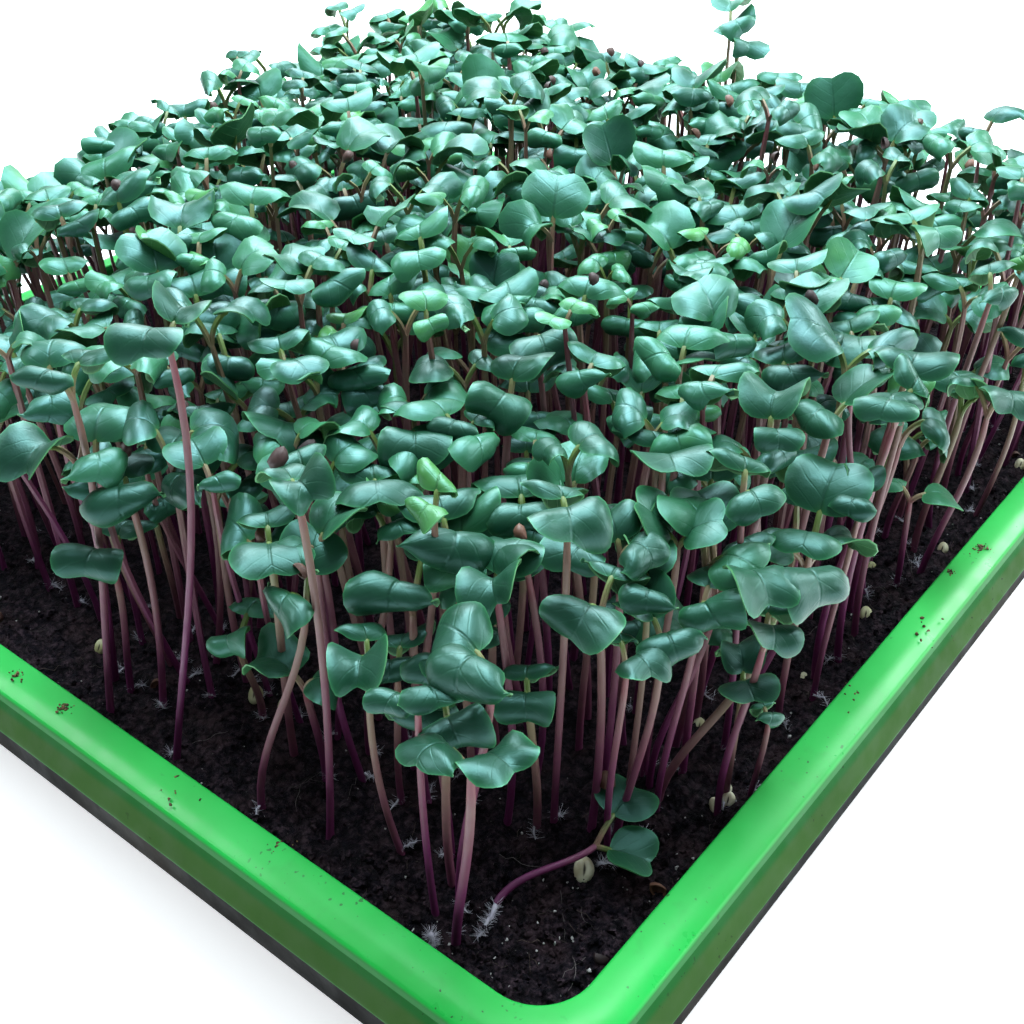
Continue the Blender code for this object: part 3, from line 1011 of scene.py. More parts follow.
# The plants along the two near sides, placed one by one: foot (x, y), leaves (x, y, z), in
# millimetres, the way the first leaf points in degrees, its size, its leaves' habits and its tone.
# Some also give the angle between their leaves and the length of their stalks.
FRONT_PLANTS = [
    ((-134, -111), (-134, -110.6, 82), 255, 0.74, ("arched", "saddle"), 0.5, -85, 6),
    ((-127, -97), (-129, -95, 78), 225, 0.80, ("folded", "arched"), 0.4),
    ((-136, -117), (-135.3, -122.1, 78), 262, 0.98, ("wavy", "arched"), 0.25, -110, 8),
    ((-130, -113), (-125.6, -118.6, 87), 172, 1.22, ("rolled", "arched"), 0.45, -75, 7),
    ((-127, -109), (-128, -111, 73), 238, 0.90, ("saddle", "rolled"), 0.1),
    ((-122, -104), (-124, -104, 70), 200, 0.85, ("rolled", "arched"), 0.2),
    ((-133, -83), (-130, -84, 106), 235, 0.75, ("folded", "saddle"), 0.5),
    ((-136, -68), (-125, -76, 81), 200, 1.00, ("rolled", "open"), 0.75),
    ((-138, -44), (-126, -52, 121.5), 200, 0.85, ("saddle", "folded"), 0.4),
    ((-138, -23), (-131, -27, 108), 190, 0.95, ("rolled", "saddle"), 0.4),
    ((-131, -21), (-130, -25, 68), 214, 1.05, ("saddle", "rolled"), 0.5),
    ((-118, -88), (-118, -90, 66), 205, 0.90, ("rolled", "saddle"), 0.15),
    ((-112, -100), (-113, -101, 70), 190, 0.95, ("rolled", "arched"), 0.20),
    ((-107, -112), (-110, -113, 66), 228, 0.85, ("saddle", "rolled"), 0.25),
    ((-114, -28), (-110, -31, 88), 30, 1.00, ("rolled", "open"), 0.3),
    ((-104, -114), (-103, -116, 101), 220, 1.00, ("saddle", "rolled"), 0.5),
    ((-85, -123), (-80, -131, 86), 232, 1.08, ("ears", "open"), 0.55, 180, 15),
    ((-87, -126), (-73, -139, 82), 248, 1.18, ("kidney", "rolled"), 0.35, 180, 14),
    ((-84, -138), (-82, -142, 76), 215, 0.80, ("saddle", "rolled"), 0.3),
    ((-80, -137), (-80, -138, 60), 210, 0.70, ("open", "folded"), 0.1),
    ((-76, -140), (-76, -142, 50), 230, 0.52, ("rolled", "rolled"), 0.9),
    ((-60, -128), (-56, -136, 74), 330, 0.95, ("saddle", "open"), 0.4),
    ((-45, -137), (-47, -141, 82), 190, 0.72, ("rolled", "folded"), 0.3),
    ((-14, -130), (-13, -134, 80), 300, 1.00, ("rolled", "saddle"), 0.5),
    ((9, -136), (11, -143, 79), 240, 1.00, ("saddle", "rolled"), 0.4),
    ((38, -137), (39, -141, 75), 210, 1.00, ("rolled", "rolled"), 0.6),
    ((-112, -36), (-110, -38, 78), 120, 0.95, ("arched", "open"), 0.3),
    ((-102, -121), (-102, -122, 87), 205, 0.95, ("saddle", "rolled"), 0.4),
    ((-100, -125), (-97, -131, 80), 235, 0.90, ("rolled", "folded"), 0.3),
    ((-115, -92), (-113, -90, 82), 192, 1.22, ("rolled", "arched"), 0.45),
    ((-106, -95), (-105, -92, 88), 232, 1.25, ("rolled", "saddle"), 0.40),
    ((-99, -105), (-97, -103, 83), 182, 1.08, ("saddle", "rolled"), 0.35),
    ((-110, -107), (-108, -105, 84), 205, 0.88, ("folded", "open"), 0.55),
    ((-106, -78), (-104, -75, 88), 222, 1.15, ("arched", "rolled"), 0.35),
    ((-99, -49), (-98, -46, 88), 222, 1.15, ("open", "saddle"), 0.45),
    ((-113, -38), (-114, -40, 85), 175, 1.20, ("rolled", "rolled"), 0.10),
    ((-130, -30), (-128, -33, 85), 228, 1.08, ("rolled", "open"), 0.35),
    ((-130, -14), (-128, -18, 90), 198, 1.10, ("folded", "rolled"), 0.10),
    ((-122, -62), (-123, -66, 85), 242, 0.95, ("open", "saddle"), 0.35),
    ((-90, -72), (-88, -69, 92), 220, 1.05, ("saddle", "arched"), 0.55),
    ((-86, -80), (-84, -78, 92), 165, 0.85, ("rolled", "rolled"), 0.35),
    ((-73, -80), (-71, -78, 95), 220, 1.08, ("saddle", "saddle"), 0.90),
    ((-73, -69), (-71, -67, 95), 150, 0.90, ("arched", "rolled"), 0.45),
    ((-52, -71), (-50, -69, 96), 222, 1.10, ("saddle", "rolled"), 0.60),
    ((-84, -121), (-82, -124, 86), 129, 0.88, ("spoon", "open"), 0.92),
    ((-103, -126), (-104, -129, 78), 220, 0.74, ("saddle", "rolled"), 0.15),
    ((-90, -128), (-88, -133, 82), 203, 0.88, ("saddle", "open"), 0.80),
    ((-95, -124), (-94, -126, 84), 215, 0.82, ("rolled", "folded"), 0.20),
    ((-93, -117), (-92, -119, 88), 240, 0.88, ("rolled", "arched"), 0.30),
    ((-71, -110), (-69, -112, 92), 238, 0.95, ("open", "rolled"), 0.50),
    ((-34, -114), (-32, -116, 94), 215, 1.00, ("rolled", "saddle"), 0.25),
    ((-9, -117), (-8, -119, 92), 222, 1.15, ("open", "saddle"), 0.95),
]


def sow(count, spacing, taken):
    """Places for the other seedlings, at least this far apart and clear of those given."""
    reach = INNER_HALF - BARE_STRIP
    places = list(taken)
    tries = 0
    while len(places) < count and tries < 200000:
        tries += 1
        x, y = between(-reach, reach), between(-reach, reach)
        near_corner = x + y < -2 * INNER_HALF + BARE_CORNER
        left_strip = x < -INNER_HALF + LEFT_STRIP and y < LEFT_STRIP_END
        if near_corner or left_strip:
            continue
        if all((x - other[0]) ** 2 + (y - other[1]) ** 2 > spacing**2 for other in places):
            places.append((x, y))
    return places[len(taken):]


def head_place(x, y):
    """Where the crowd lets a seedling's leaves come out: fanned outwards, and lower at the sides."""
    reach = INNER_HALF - BARE_STRIP
    far = max(abs(x), abs(y)) / reach
    fan = FAN_OUT * far**1.5
    near_side = x < -0.6 * reach or y < -0.6 * reach
    if near_side:
        fan *= 0.35
    corner = abs(x * y) / reach**2
    # How far into the strips along the two far sides: 0 outside them, and 1 near their outer edge.
    right = max(0.0, min(1.0, (x - 40 * MM) / (90 * MM)))
    left = max(0.0, min(1.0, (y - 40 * MM) / (90 * MM)))
    at_back = FAR_LEFT_DROP * left * (1 - right) + FAR_RIGHT_DROP * right * (1 - left)
    at_back -= FAR_CORNER_RISE * left * right
    height = CANOPY_HEIGHT - SIDE_DROP * far**4 - CORNER_DROP * corner**2 - at_back
    height += chance.gauss(0, 6.5) * MM
    # Some plants have stayed low, more of them along the sides, and a few stand out above the rest.
    odd = chance.random()
    low_share = 0.35 if near_side or far > 0.8 else 0.12
    if odd < low_share:
        height -= between(8, 28) * MM
    elif odd > 0.98:
        height += between(3, 7) * MM
    height = max(LOWEST_HEAD, min(height, HIGHEST_HEAD))
    wander = flat(chance.gauss(0, 1), chance.gauss(0, 1)) * height * 0.06
    centre = flat(x, y)
    push = centre.normalized() * fan * (height / (69 * MM))
    place = centre + push + wander
    # The leaves stay within a few millimetres of the rim.
    for axis in range(2):
        place[axis] = max(-HEAD_REACH, min(HEAD_REACH, place[axis]))
    return place + flat(0, 0, SOIL_LEVEL + height)


def clump_of(x, y):
    """The row and the column of the clump that a seedling belongs to."""
    column = round(x / CLUMP_PITCH + (CLUMP_ROWS - 1) / 2)
    row = round(y / CLUMP_PITCH + (CLUMP_ROWS - 1) / 2)
    return max(0, min(CLUMP_ROWS - 1, row)), max(0, min(CLUMP_ROWS - 1, column))


def look_at(x, y):
    """The finer meshes go to the near corner and to the outermost plants of the two near sides."""
    past_corner = x + y + 2 * INNER_HALF
    outermost = min(x, y)
    if past_corner < 115 * MM or (outermost < -124 * MM and past_corner < 200 * MM):
        return NEAR
    if past_corner < 215 * MM or outermost < -115 * MM:
        return MIDDLE
    return FAR


def sowing(materials):
    """All the seedlings, one piece for each clump of the CAD model."""
    pieces = {(row, column): Piece() for row in range(CLUMP_ROWS) for column in range(CLUMP_ROWS)}
    feet = []
    for foot, head, facing, size, habits, tone, *rest in FRONT_PLANTS:
        spread, stalk = rest or (180, None)
        base = flat(foot[0] * MM, foot[1] * MM, SOIL_LEVEL)
        place = flat(head[0], head[1], head[2] + FRONT_RAISE) * MM
        feet.append((base.x, base.y))
        hull = chance.random() < 0.1
        grow_seedling(pieces[clump_of(base.x, base.y)], base, place, math.radians(facing), NEAR, size,
                      habits, tone * FRONT_TONE, hull, spread, stalk and stalk * MM)
    fallen_seedling(pieces[clump_of(FALLEN_FOOT[0] * MM, FALLEN_FOOT[1] * MM)])
    for x, y in sow(SEEDLING_COUNT, STEM_SPACING, feet):
        feet.append((x, y))
        young = chance.random() < 0.10
        # Seedlings grow larger towards the far corner, where the light comes from, and are painted
        # paler there: painted light.
        far = (x + y + 2 * INNER_HALF) / (4 * INNER_HALF)
        size = between(0.60, 0.80) if young else between(0.80, 1.10)
        tone = between(0.8, 1.0) if young else between(0.0, 0.80) + 0.16 * far
        grow_seedling(pieces[clump_of(x, y)], flat(x, y, SOIL_LEVEL), head_place(x, y),
                      CAMERA_HEADING + chance.gauss(0, 0.9), look_at(x, y), size * (1 + 0.20 * far),
                      tone=tone, hull=chance.random() < 0.07)
    for (row, column), piece in pieces.items():
        node = f"seedling_clump_r{row + 1}c{column + 1}"
        clump = piece.build(f"seedlings_r{row + 1}c{column + 1}", materials)
        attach(clump, "root")
        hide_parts(node)
    return feet


# A seedling has fallen over in the near corner and lies on the soil.
FALLEN_FOOT = (-126.0, -118.0)
FALLEN_NODE = (-108.0, -126.5, 5.0)


def fallen_seedling(piece):
    """Its stem runs along the soil, and its two flat leaves face up, with the seed coat beside them."""
    base = flat(FALLEN_FOOT[0] * MM, FALLEN_FOOT[1] * MM, SOIL_LEVEL + 0.4 * MM)
    joint = flat(FALLEN_NODE[0] * MM, FALLEN_NODE[1] * MM, SOIL_LEVEL + FALLEN_NODE[2] * MM)
    path = curve_points(base, flat(6, 0.5, 3) * MM, flat(-8, 1.0, 0.5) * MM, joint, 15)
    radii = np.linspace(0.70, 0.60, 15) * MM
    points, faces = tube(path, radii, 8)
    rise = np.repeat(np.linspace(0.12, 0.55, 15), 8)
    plant = np.stack([rise, np.full(len(rise), 0.5), np.full(len(rise), 0.95)], -1)
    piece.add(points, faces, STEM, (0, 0, 0), plant)
    upper = LeafShape(6.4 * MM, math.radians(38), cup=0.10, fold=0.08, cap=0.25, skew=0.1, uneven=0.1)
    add_leaf(piece, NEAR, joint, math.radians(2), math.radians(42), math.radians(16), 6.5 * MM,
             upper, 0.10, 0.6, -0.10)
    lower = LeafShape(6.0 * MM, math.radians(30), cup=0.12, fold=0.30, cap=0.10, skew=-0.2, ripple=0.05)
    add_leaf(piece, NEAR, joint, math.radians(292), math.radians(8), math.radians(4), 2.6 * MM,
             lower, 0.45, 0.4, 0.12)
    coat = joint + flat(9.5, 4.5, 5.5) * MM
    add_hull(piece, coat, 2.1 * MM, (0.3, 0.2, 0.9), 0.62)


# ---------------------------------------------------------------- potting mix and litter


def soil_height(x, y):
    """The crumbly top of the potting mix."""
    place = flat(x, y)
    rolls = noise.noise(place * 45) * 1.4 * MM
    lumps = noise.fractal(place * 260, 0.75, 2.2, 5) * 1.35 * MM
    crumbs = abs(noise.noise(place * 720 + flat(3, 9, 2))) * 1.5 * MM
    edge = INNER_HALF - max(abs(x), abs(y))
    bank = 1.4 * MM * math.exp(-edge / (5 * MM))
    return SOIL_LEVEL - 0.8 * MM + rolls + lumps + crumbs + bank


def soil_lines(reach):
    """Grid lines, closer together in the strips that are seen."""
    fine_strip = 32 * MM
    lines = [-reach]
    while lines[-1] < reach:
        step = 0.62 * MM if lines[-1] < fine_strip - reach else 2.3 * MM
        lines.append(lines[-1] + step)
    lines[-1] = reach
    return np.array(lines)


def potting_mix(material):
    """A closed block whose top is displaced into crumbs and lumps."""
    wall_top = INNER_HALF - math.tan(WALL_DRAFT) * (TRAY_HIGH.z - SOIL_LEVEL) - 0.3 * MM
    lines = soil_lines(wall_top)
    count = len(lines)
    corner = 10 * MM
    points = np.empty((count * count, 3))
    index = 0
    for y in lines:
        for x in lines:
            # Grid points in the corners are drawn in to follow the tray's rounded wall.
            dx = abs(x) - (wall_top - corner)
            dy = abs(y) - (wall_top - corner)
            px, py = x, y
            if dx > 0 and dy > 0:
                shrink = max(dx, dy) / math.hypot(dx, dy)
                px = math.copysign(wall_top - corner + dx * shrink, x)
                py = math.copysign(wall_top - corner + dy * shrink, y)
            points[index] = (px, py, soil_height(px, py))
            index += 1
    rows = np.arange(count - 1)[:, None] * count
    columns = np.arange(count - 1)[None, :]
    low = rows + columns
    quads = np.stack([low, low + 1, low + count + 1, low + count], -1).reshape(-1, 4)
    border = np.concatenate([
        np.arange(count - 1),
        np.arange(count - 1) * count + count - 1,
        count * count - 1 - np.arange(count - 1),
        (count - 1 - np.arange(count - 1)) * count,
    ])
    ring = points[border].copy()
    foot_scale = (wall_top - math.tan(WALL_DRAFT) * (SOIL_LEVEL - SOIL_LOW.z)) / wall_top
    ring[:, :2] *= foot_scale
    ring[:, 2] = SOIL_LOW.z
    sides = len(border)
    piece = Piece()
    piece.add(np.concatenate([points, ring]), [quads], 0)
    here = np.arange(sides)
    following = (here + 1) % sides
    lower = count * count
    skirt = np.stack([lower + here, lower + following, border[following], border[here]], -1)
    piece.faces.append(skirt)
    piece.slots.append(np.zeros(sides, int))
    bottom = cap_faces(lower, sides, False)
    piece.faces.append(bottom)
    piece.slots.append(np.zeros(len(bottom), int))
    return piece.build("potting_mix_surface", [material], 180)


def edge_place(depth):
    """A place in the strip along the tray's sides, this deep. The near sides come up more often."""
    reach = INNER_HALF - 2.5 * MM
    side = chance.choice((0, 0, 1, 1, 2, 3))
    along = between(-reach, reach)
    inwards = reach - between(0, 1) ** 1.2 * depth
    return ((-inwards, along), (along, -inwards), (inwards, along), (along, inwards))[side]


def corner_place(depth):
    """A place in the triangle of bare potting mix at the near corner."""
    reach = INNER_HALF - 2.5 * MM
    x, y = sorted((between(0, depth), between(0, depth)))
    return x - reach, (depth - y if chance.random() < 0.5 else y - x) - reach


def on_soil(x, y, lift):
    """The point this high over the top of the potting mix."""
    return flat(x, y, soil_height(x, y) + lift)


def lump(piece, centre, size, slot, roughness, levels=1, squash=(1, 1, 1)):
    """An irregular crumb: an icosphere pushed about by noise."""
    ball = bmesh.new()
    bmesh.ops.create_icosphere(ball, subdivisions=levels, radius=1.0)
    seed = flat(between(0, 90), between(0, 90), between(0, 90))
    turn = Euler((between(0, 6), between(0, 6), between(0, 6))).to_matrix()
    points = []
    for vert in ball.verts:
        push = 1 + roughness * noise.noise(vert.co * 1.4 + seed) * 1.6
        shaped = Vector(a * b for a, b in zip(vert.co * push, squash))
        points.append(tuple(centre + turn @ shaped * size))
    faces = np.array([[vert.index for vert in face.verts] for face in ball.faces])
    ball.free()
    piece.add(points, [faces], slot)


# Dirt spilt on the rim: x, y and spread, in millimetres, and the number of crumbs.
DIRT_HEAPS = (
    (-147.5, -8, 1.6, 22),
    (-147.6, -24, 1.5, 40),
    (14, -147.5, 2.2, 44),
    (1, -145.5, 1.1, 20),
    (-48, -146.5, 3.0, 8),
    (-145, -84, 2.0, 10),
    (-149, -60, 6.0, 8),
    (-20, -149, 9.0, 12),
    (60, -147, 9.0, 12),
)


def soil_crumbs(materials):
    """Loose crumbs on the potting mix, and finer dirt spilt on the rim."""
    piece = Piece()
    for _ in range(1500):
        x, y = edge_place(26 * MM)
        size = abs(chance.gauss(0, 0.42)) * MM + 0.25 * MM
        squash = (1, between(0.5, 1), between(0.4, 0.9))
        lump(piece, on_soil(x, y, size * 0.2), size, 0, 0.6, 2 if size > 0.95 * MM else 1, squash)
    for _ in range(650):
        x, y = corner_place(60 * MM)
        size = abs(chance.gauss(0, 0.34)) * MM + 0.28 * MM
        squash = (1, between(0.6, 1), between(0.5, 0.9))
        lump(piece, on_soil(x, y, size * 0.25), size, 0, 0.6, 1, squash)
    for x, y, spread, count in DIRT_HEAPS:
        for index in range(count):
            # The first crumbs of a heap are larger and lie closer together.
            reach = spread * (0.15 + 0.6 * index / count)
            place = flat(x + chance.gauss(0, 1) * reach, y + chance.gauss(0, 1) * reach) * MM
            size = between(0.10, 0.45 - 0.25 * index / count) * MM
            lump(piece, place + flat(0, 0, TRAY_HIGH.z - 0.1 * MM + size * 0.2), size, 1, 0.6)
    return piece.build("soil_crumbs", materials, 60)


def perlite_grains(material):
    """Pale grains among the crumbs."""
    piece = Piece()
    for _ in range(230):
        x, y = edge_place(36 * MM)
        size = abs(chance.gauss(0, 0.10)) * MM + 0.12 * MM
        lump(piece, on_soil(x, y, size * 0.6), size, 0, 0.55, 2 if size > 0.35 * MM else 1)
    for _ in range(46):
        x, y = corner_place(50 * MM)
        size = between(0.16, 0.42) * MM
        squash = (1, between(0.6, 1), between(0.5, 0.9))
        lump(piece, on_soil(x, y, size * 0.7), size, 0, 0.7, 1, squash)
    return piece.build("perlite_grains", [material], 70)


def strand(piece, x, y, length, thick, bend, lift, steps=6):
    """A fine strand that lies loosely on the potting mix."""
    heading = between(0, math.tau)
    path = []
    for step in range(steps):
        share = step / (steps - 1)
        turn = heading + bend * share + between(-0.3, 0.3)
        x += math.cos(turn) * length / (steps - 1)
        y += math.sin(turn) * length / (steps - 1)
        height = lift + between(0, 0.7) * MM * math.sin(math.pi * share)
        path.append((x, y, soil_height(x, y) + height))
    points, faces = tube(path, [thick] * (steps - 1) + [thick * 0.4], 3)
    piece.add(points, faces, 0)


def peat_fibres(material):
    """Short dark fibres on the potting mix."""
    piece = Piece()
    for _ in range(330):
        x, y = edge_place(34 * MM)
        length = between(1.5, 6) * MM
        thick = between(0.03, 0.07) * MM
        strand(piece, x, y, length, thick, between(-1.2, 1.2), 0.2 * MM)
    return piece.build("peat_fibres", [material], 180)


def root_threads(material):
    """Thin pale roots that have come to the surface."""
    piece = Piece()
    for _ in range(34):
        x, y = edge_place(26 * MM)
        length = between(6, 13) * MM
        thick = between(0.035, 0.06) * MM
        strand(piece, x, y, length, thick, between(-1.5, 1.5), 0.35 * MM, 9)
    return piece.build("root_threads", [material], 180)


# Seeds that never sprouted: x, y and half their width, in millimetres, and how green they are.
SEEDS = (
    (-110.4, -125.8, 1.9, 0.0),
    (-80.5, -138, 1.35, 0.1),
    (-82.5, -136.5, 1.3, 0.2),
    (-78, -136, 1.2, 0.0),
    (-114.4, -51.3, 1.6, 0.9),
    (-116.6, -45.1, 1.6, 0.7),
    (-126, -4, 1.4, 0.8),
    (20, -137, 1.3, 0.2),
    (66, -138, 1.4, 0.3),
)


def loose_seeds(material):
    """The seeds of the list lie on the potting mix, and a few more are half buried in it."""
    piece = Piece()
    spots = [(x * MM, y * MM, size * MM, green, 0.55) for x, y, size, green in SEEDS]
    for _ in range(8):
        x, y = edge_place(20 * MM)
        # None come near the bare corner.
        if x + y > -200 * MM:
            spots.append((x, y, between(1.1, 1.5) * MM, between(0, 1), -0.35))
    for x, y, size, green, lift in spots:
        seed_shape(piece, on_soil(x, y, size * lift), size, green)
    return piece.build("loose_seeds", [material], 80)


def seed_hulls(material):
    """Seed coats that have dropped onto the potting mix."""
    piece = Piece()
    for _ in range(26):
        x, y = edge_place(24 * MM)
        axis = (between(-1, 1), between(-1, 1), between(-1, 1))
        size = between(0.9, 1.6) * MM
        add_hull(piece, on_soil(x, y, 0.6 * MM), size, axis, between(0, 0.75))
    # Here the coats' material is the only one.
    piece.slots = [np.zeros_like(array) for array in piece.slots]
    return piece.build("seed_hulls", [material], 60)


def seed_shape(piece, centre, size, green):
    """A bean with a split along the side that faces up and towards the near corner."""
    around, rings = 16, 9
    lean = (between(-0.4, 0.4), between(-1.0, -0.6), CAMERA_HEADING + between(-0.7, 0.3))
    turn_to = Euler(lean).to_matrix()
    points = []
    splits = []
    for ring in range(rings):
        tilt = math.pi * (ring + 0.5) / rings
        for step in range(around):
            turn = math.tau * step / around
            across, up = math.sin(tilt) * math.cos(turn), 0.85 * math.sin(tilt) * math.sin(turn)
            split = math.exp(-((math.cos(turn) / 0.20) ** 2)) * (up > 0) * math.sin(tilt) ** 2
            shape = Vector((1.3 * math.cos(tilt), across, up)) * (1 - 0.32 * split)
            shape.y += 0.14 * math.cos(tilt) ** 2
            points.append(tuple(centre + turn_to @ shape * size))
            splits.append(split)
    last = (rings - 1) * around
    faces = [ring_faces(rings, around)[:, ::-1]]
    faces += [cap_faces(0, around, True), cap_faces(last, around, False)]
    rows = len(points)
    plant = np.stack([np.zeros(rows), np.full(rows, green), np.array(splits)], -1)
    piece.add(points, faces, 0, (0, 0, 0), plant)


# Fuzzy roots that lie bare on the potting mix: start (x, y) and end (x, y), in millimetres.
BARE_ROOTS = (
    ((-126, -118), (-133, -119.5)),
    ((-107.5, -127), (-105, -129)),
    ((-104, -133.5), (-99, -132)),
    ((-99, -132), (-96, -129)),
    ((-138, -113), (-139, -115)),
)
# How many stems of the near sides show root hairs at their feet.
FUZZY_FEET = 120


def fuzzy_root(piece, start, end, thick, hairs):
    """A white root with fine hairs all round it."""
    path = []
    side = (end - start).cross(flat(0, 0, 1)).normalized() * between(-0.12, 0.12) * (end - start).length
    for step in range(6):
        share = step / 5
        spot = start.lerp(end, share) + side * math.sin(math.pi * share)
        path.append((spot.x, spot.y, soil_height(spot.x, spot.y) + (1.3 - 0.9 * share) * MM))
    radii = np.array([1.0, 0.95, 0.85, 0.7, 0.5, 0.25]) * thick
    points, faces = tube(path, radii, 5)
    piece.add(points, faces, 0)
    path = np.array(path)
    for _ in range(hairs):
        place = between(0, 4.99)
        low = int(place)
        at = path[low] + (path[low + 1] - path[low]) * (place - low)
        turn = between(0, math.tau)
        reach = between(0.5, 1.9) * MM
        tip = at + reach * np.array((math.cos(turn), math.sin(turn), between(-0.1, 0.9)))
        points, faces = tube([at, tip], np.array([0.042, 0.018]) * MM, 3)
        piece.add(points, faces, 0)


def root_hairs(feet, material):
    """White fuzz at the feet of the outer stems."""
    piece = Piece()
    for start, end in BARE_ROOTS:
        fuzzy_root(piece, flat(*start) * MM, flat(*end) * MM, 0.50 * MM, 200)
    edge = [foot for foot in feet if min(foot) < 40 * MM - INNER_HALF]
    chance.shuffle(edge)
    for x, y in edge[:FUZZY_FEET]:
        heading = between(0, math.tau)
        length = between(1.5, 4) * MM
        start = flat(x, y)
        end = start + flat(math.cos(heading), math.sin(heading)) * length
        fuzzy_root(piece, start, end, 0.25 * MM, 42)
    return piece.build("root_hairs", [material], 180)


# ---------------------------------------------------------------- studio


def add_stage():
    mesh = bpy.data.meshes.new("studio_floor")
    span = 4.0
    made = bmesh.new()
    corners = [made.verts.new((x * span, y * span, 0)) for x, y in ((-1, -1), (1, -1), (1, 1), (-1, 1))]
    made.faces.new(corners)
    made.to_mesh(mesh)
    made.free()
    floor = bpy.data.objects.new("studio_floor", mesh)
    bpy.context.scene.collection.objects.link(floor)
    white = (0.86, 0.87, 0.88, 1)
    surface = Surface("studio_floor", Roughness=0.8, Specular_IOR_Level=0.2, Base_Color=white,
                      Emission_Color=white, Emission_Strength=0.75)
    mesh.materials.append(surface.material)


def add_area_light(name, place, target, size, power, colour):
    light = bpy.data.lights.new(name, "AREA")
    light.shape = "SQUARE"
    light.size = size
    light.energy = power
    light.color = colour
    obj = bpy.data.objects.new(name, light)
    obj.location = place
    obj.rotation_euler = (Vector(target) - Vector(place)).to_track_quat("-Z", "Y").to_euler()
    bpy.context.scene.collection.objects.link(obj)


def add_lights():
    """Cool lamps over the tray, as over a grow shelf, and three beside it that edge the rim."""
    centre = (0, 0, 0.08)
    add_area_light("overhead", (0.08, -0.02, 0.80), centre, 0.50, 12.5, (0.83, 0.95, 1.0))
    add_area_light("overhead_back", (0.30, 0.28, 0.62), centre, 0.42, 8, (0.81, 0.94, 1.0))
    add_area_light("behind", (1.1, 1.0, 0.9), centre, 1.2, 18, (0.81, 0.94, 1.0))
    add_area_light("left_edge", (-0.33, 0.62, 0.75), centre, 0.35, 4.5, (0.88, 0.98, 1.0))
    add_area_light("right_edge", (0.74, -0.36, 0.60), centre, 0.35, 7, (0.88, 0.98, 1.0))
    add_area_light("right_side", (0.55, -0.80, 0.30), centre, 0.50, 5, (0.95, 0.98, 1.0))
    world = bpy.data.worlds.new("studio")
    world.use_nodes = True
    background = world.node_tree.nodes["Background"]
    background.inputs["Color"].default_value = (0.90, 0.95, 1.0, 1)
    background.inputs["Strength"].default_value = 0.30
    bpy.context.scene.world = world


def add_camera():
    """The camera looks down over the near corner, along its heading from +X towards +Y."""
    ahead = flat(
        math.cos(CAMERA_HEADING) * math.cos(CAMERA_TILT),
        math.sin(CAMERA_HEADING) * math.cos(CAMERA_TILT),
        -math.sin(CAMERA_TILT),
    )
    right = flat(math.sin(CAMERA_HEADING), -math.cos(CAMERA_HEADING))
    down = ahead.cross(right)
    level_right = right
    right = math.cos(CAMERA_ROLL) * level_right + math.sin(CAMERA_ROLL) * down
    down = math.cos(CAMERA_ROLL) * down - math.sin(CAMERA_ROLL) * level_right
    data = bpy.data.cameras.new("camera")
    data.lens = CAMERA_LENS
    data.sensor_width = 36
    data.clip_start = 0.01
    camera = bpy.data.objects.new("camera", data)
    axes = Matrix((right, -down, -ahead)).transposed().to_4x4()
    camera.matrix_world = Matrix.Translation(CAMERA_PLACE) @ axes
    bpy.context.scene.collection.objects.link(camera)
    bpy.context.scene.camera = camera


# ---------------------------------------------------------------- the whole scene


def finish_piece(obj, slot, *nodes):
    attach(obj, "root")
    if nodes:
        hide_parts(*nodes)


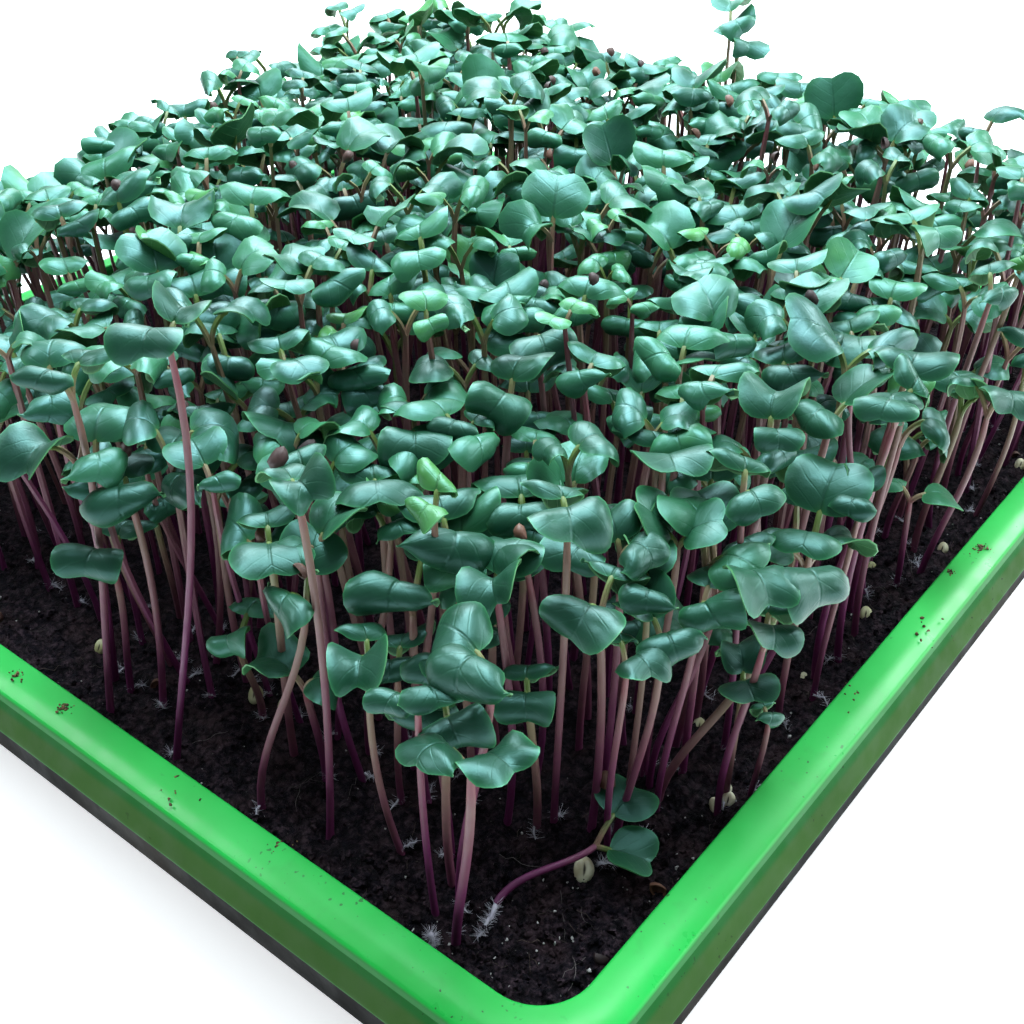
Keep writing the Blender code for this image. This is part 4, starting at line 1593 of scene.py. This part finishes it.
def main():
    add_camera()
    add_lights()
    add_stage()
    bpy.context.scene.view_settings.view_transform = "Standard"

    section = tray_profile(TRAY_HIGH.z, TRAY_LOW.z + WALL, WALL, 0.0, RIM_WIDTH,
                           TRAY_HIGH.z - SKIRT_DROP, CROWN_FALL, SHOULDER, SKIRT_FLARE)
    greens = [green_plastic(), shaded_skirt_plastic()]
    finish_piece(moulded_tray("green_tray", section, SHEET_WARP, greens, SKIRT_TOP),
                 "green_plastic", "grow_tray")
    section = tray_profile(DRIP_HIGH.z, DRIP_FLOOR, DRIP_FLOOR, DRIP_INNER_EDGE, DRIP_RIM_WIDTH,
                           DRIP_BAND_BOTTOM, DRIP_FALL, DRIP_SHOULDER, 0.0)
    finish_piece(moulded_tray("dark_tray", section, 0.0, [charcoal_plastic()]),
                 "charcoal_plastic", "drip_tray")

    soil = soil_material("potting_mix", 1.3)
    finish_piece(potting_mix(soil), "potting_mix", "potting_mix")
    dirt = speckled_material("dirt", (0.014, 0.009, 0.004), (0.150, 0.090, 0.040),
                             rough=0.8, feature=0.4 * MM, relief=0.1 * MM)
    finish_piece(soil_crumbs([soil_material("soil_crumb", 1.6), dirt]), "potting_mix")
    perlite = speckled_material("perlite", (0.26, 0.25, 0.25), (0.42, 0.41, 0.42),
                                rough=0.7, feature=0.6 * MM, relief=0.1 * MM)
    finish_piece(perlite_grains(perlite), "potting_mix")
    fibre = speckled_material("peat_fibre", (0.014, 0.009, 0.008), (0.070, 0.048, 0.040),
                              rough=0.75, feature=2 * MM, relief=0.05 * MM)
    finish_piece(peat_fibres(fibre), "potting_mix")
    thread = speckled_material("root_thread", (0.06, 0.05, 0.05), (0.15, 0.13, 0.13),
                               rough=0.7, feature=3 * MM, relief=0.03 * MM)
    finish_piece(root_threads(thread), "potting_mix")
    seed_coat = hull_material()
    finish_piece(loose_seeds(seed_material()), "seedling")
    finish_piece(seed_hulls(seed_coat), "seedling")

    # The leaves at the near corner are painted a deeper green than those in the crowd: painted shade.
    crowded_top = leaf_top("seed_leaf_top", 0.72, (0.45, 0.90, 1.0, 1.0), 0.0)
    shaded_corner_top = leaf_top("seed_leaf_top_corner_shaded", 0.54, (0.44, 0.93, 0.92, 1.0), 0.35)
    leaves = [crowded_top, leaf_under(), leaf_margin(), stem_material(), seed_coat, shaded_corner_top]
    feet = sowing(leaves)
    hair = speckled_material("root_hair", (0.30, 0.29, 0.35), (0.48, 0.47, 0.55),
                             rough=0.7, feature=2 * MM, relief=0.02 * MM)
    finish_piece(root_hairs(feet, hair), "seedling")


main()
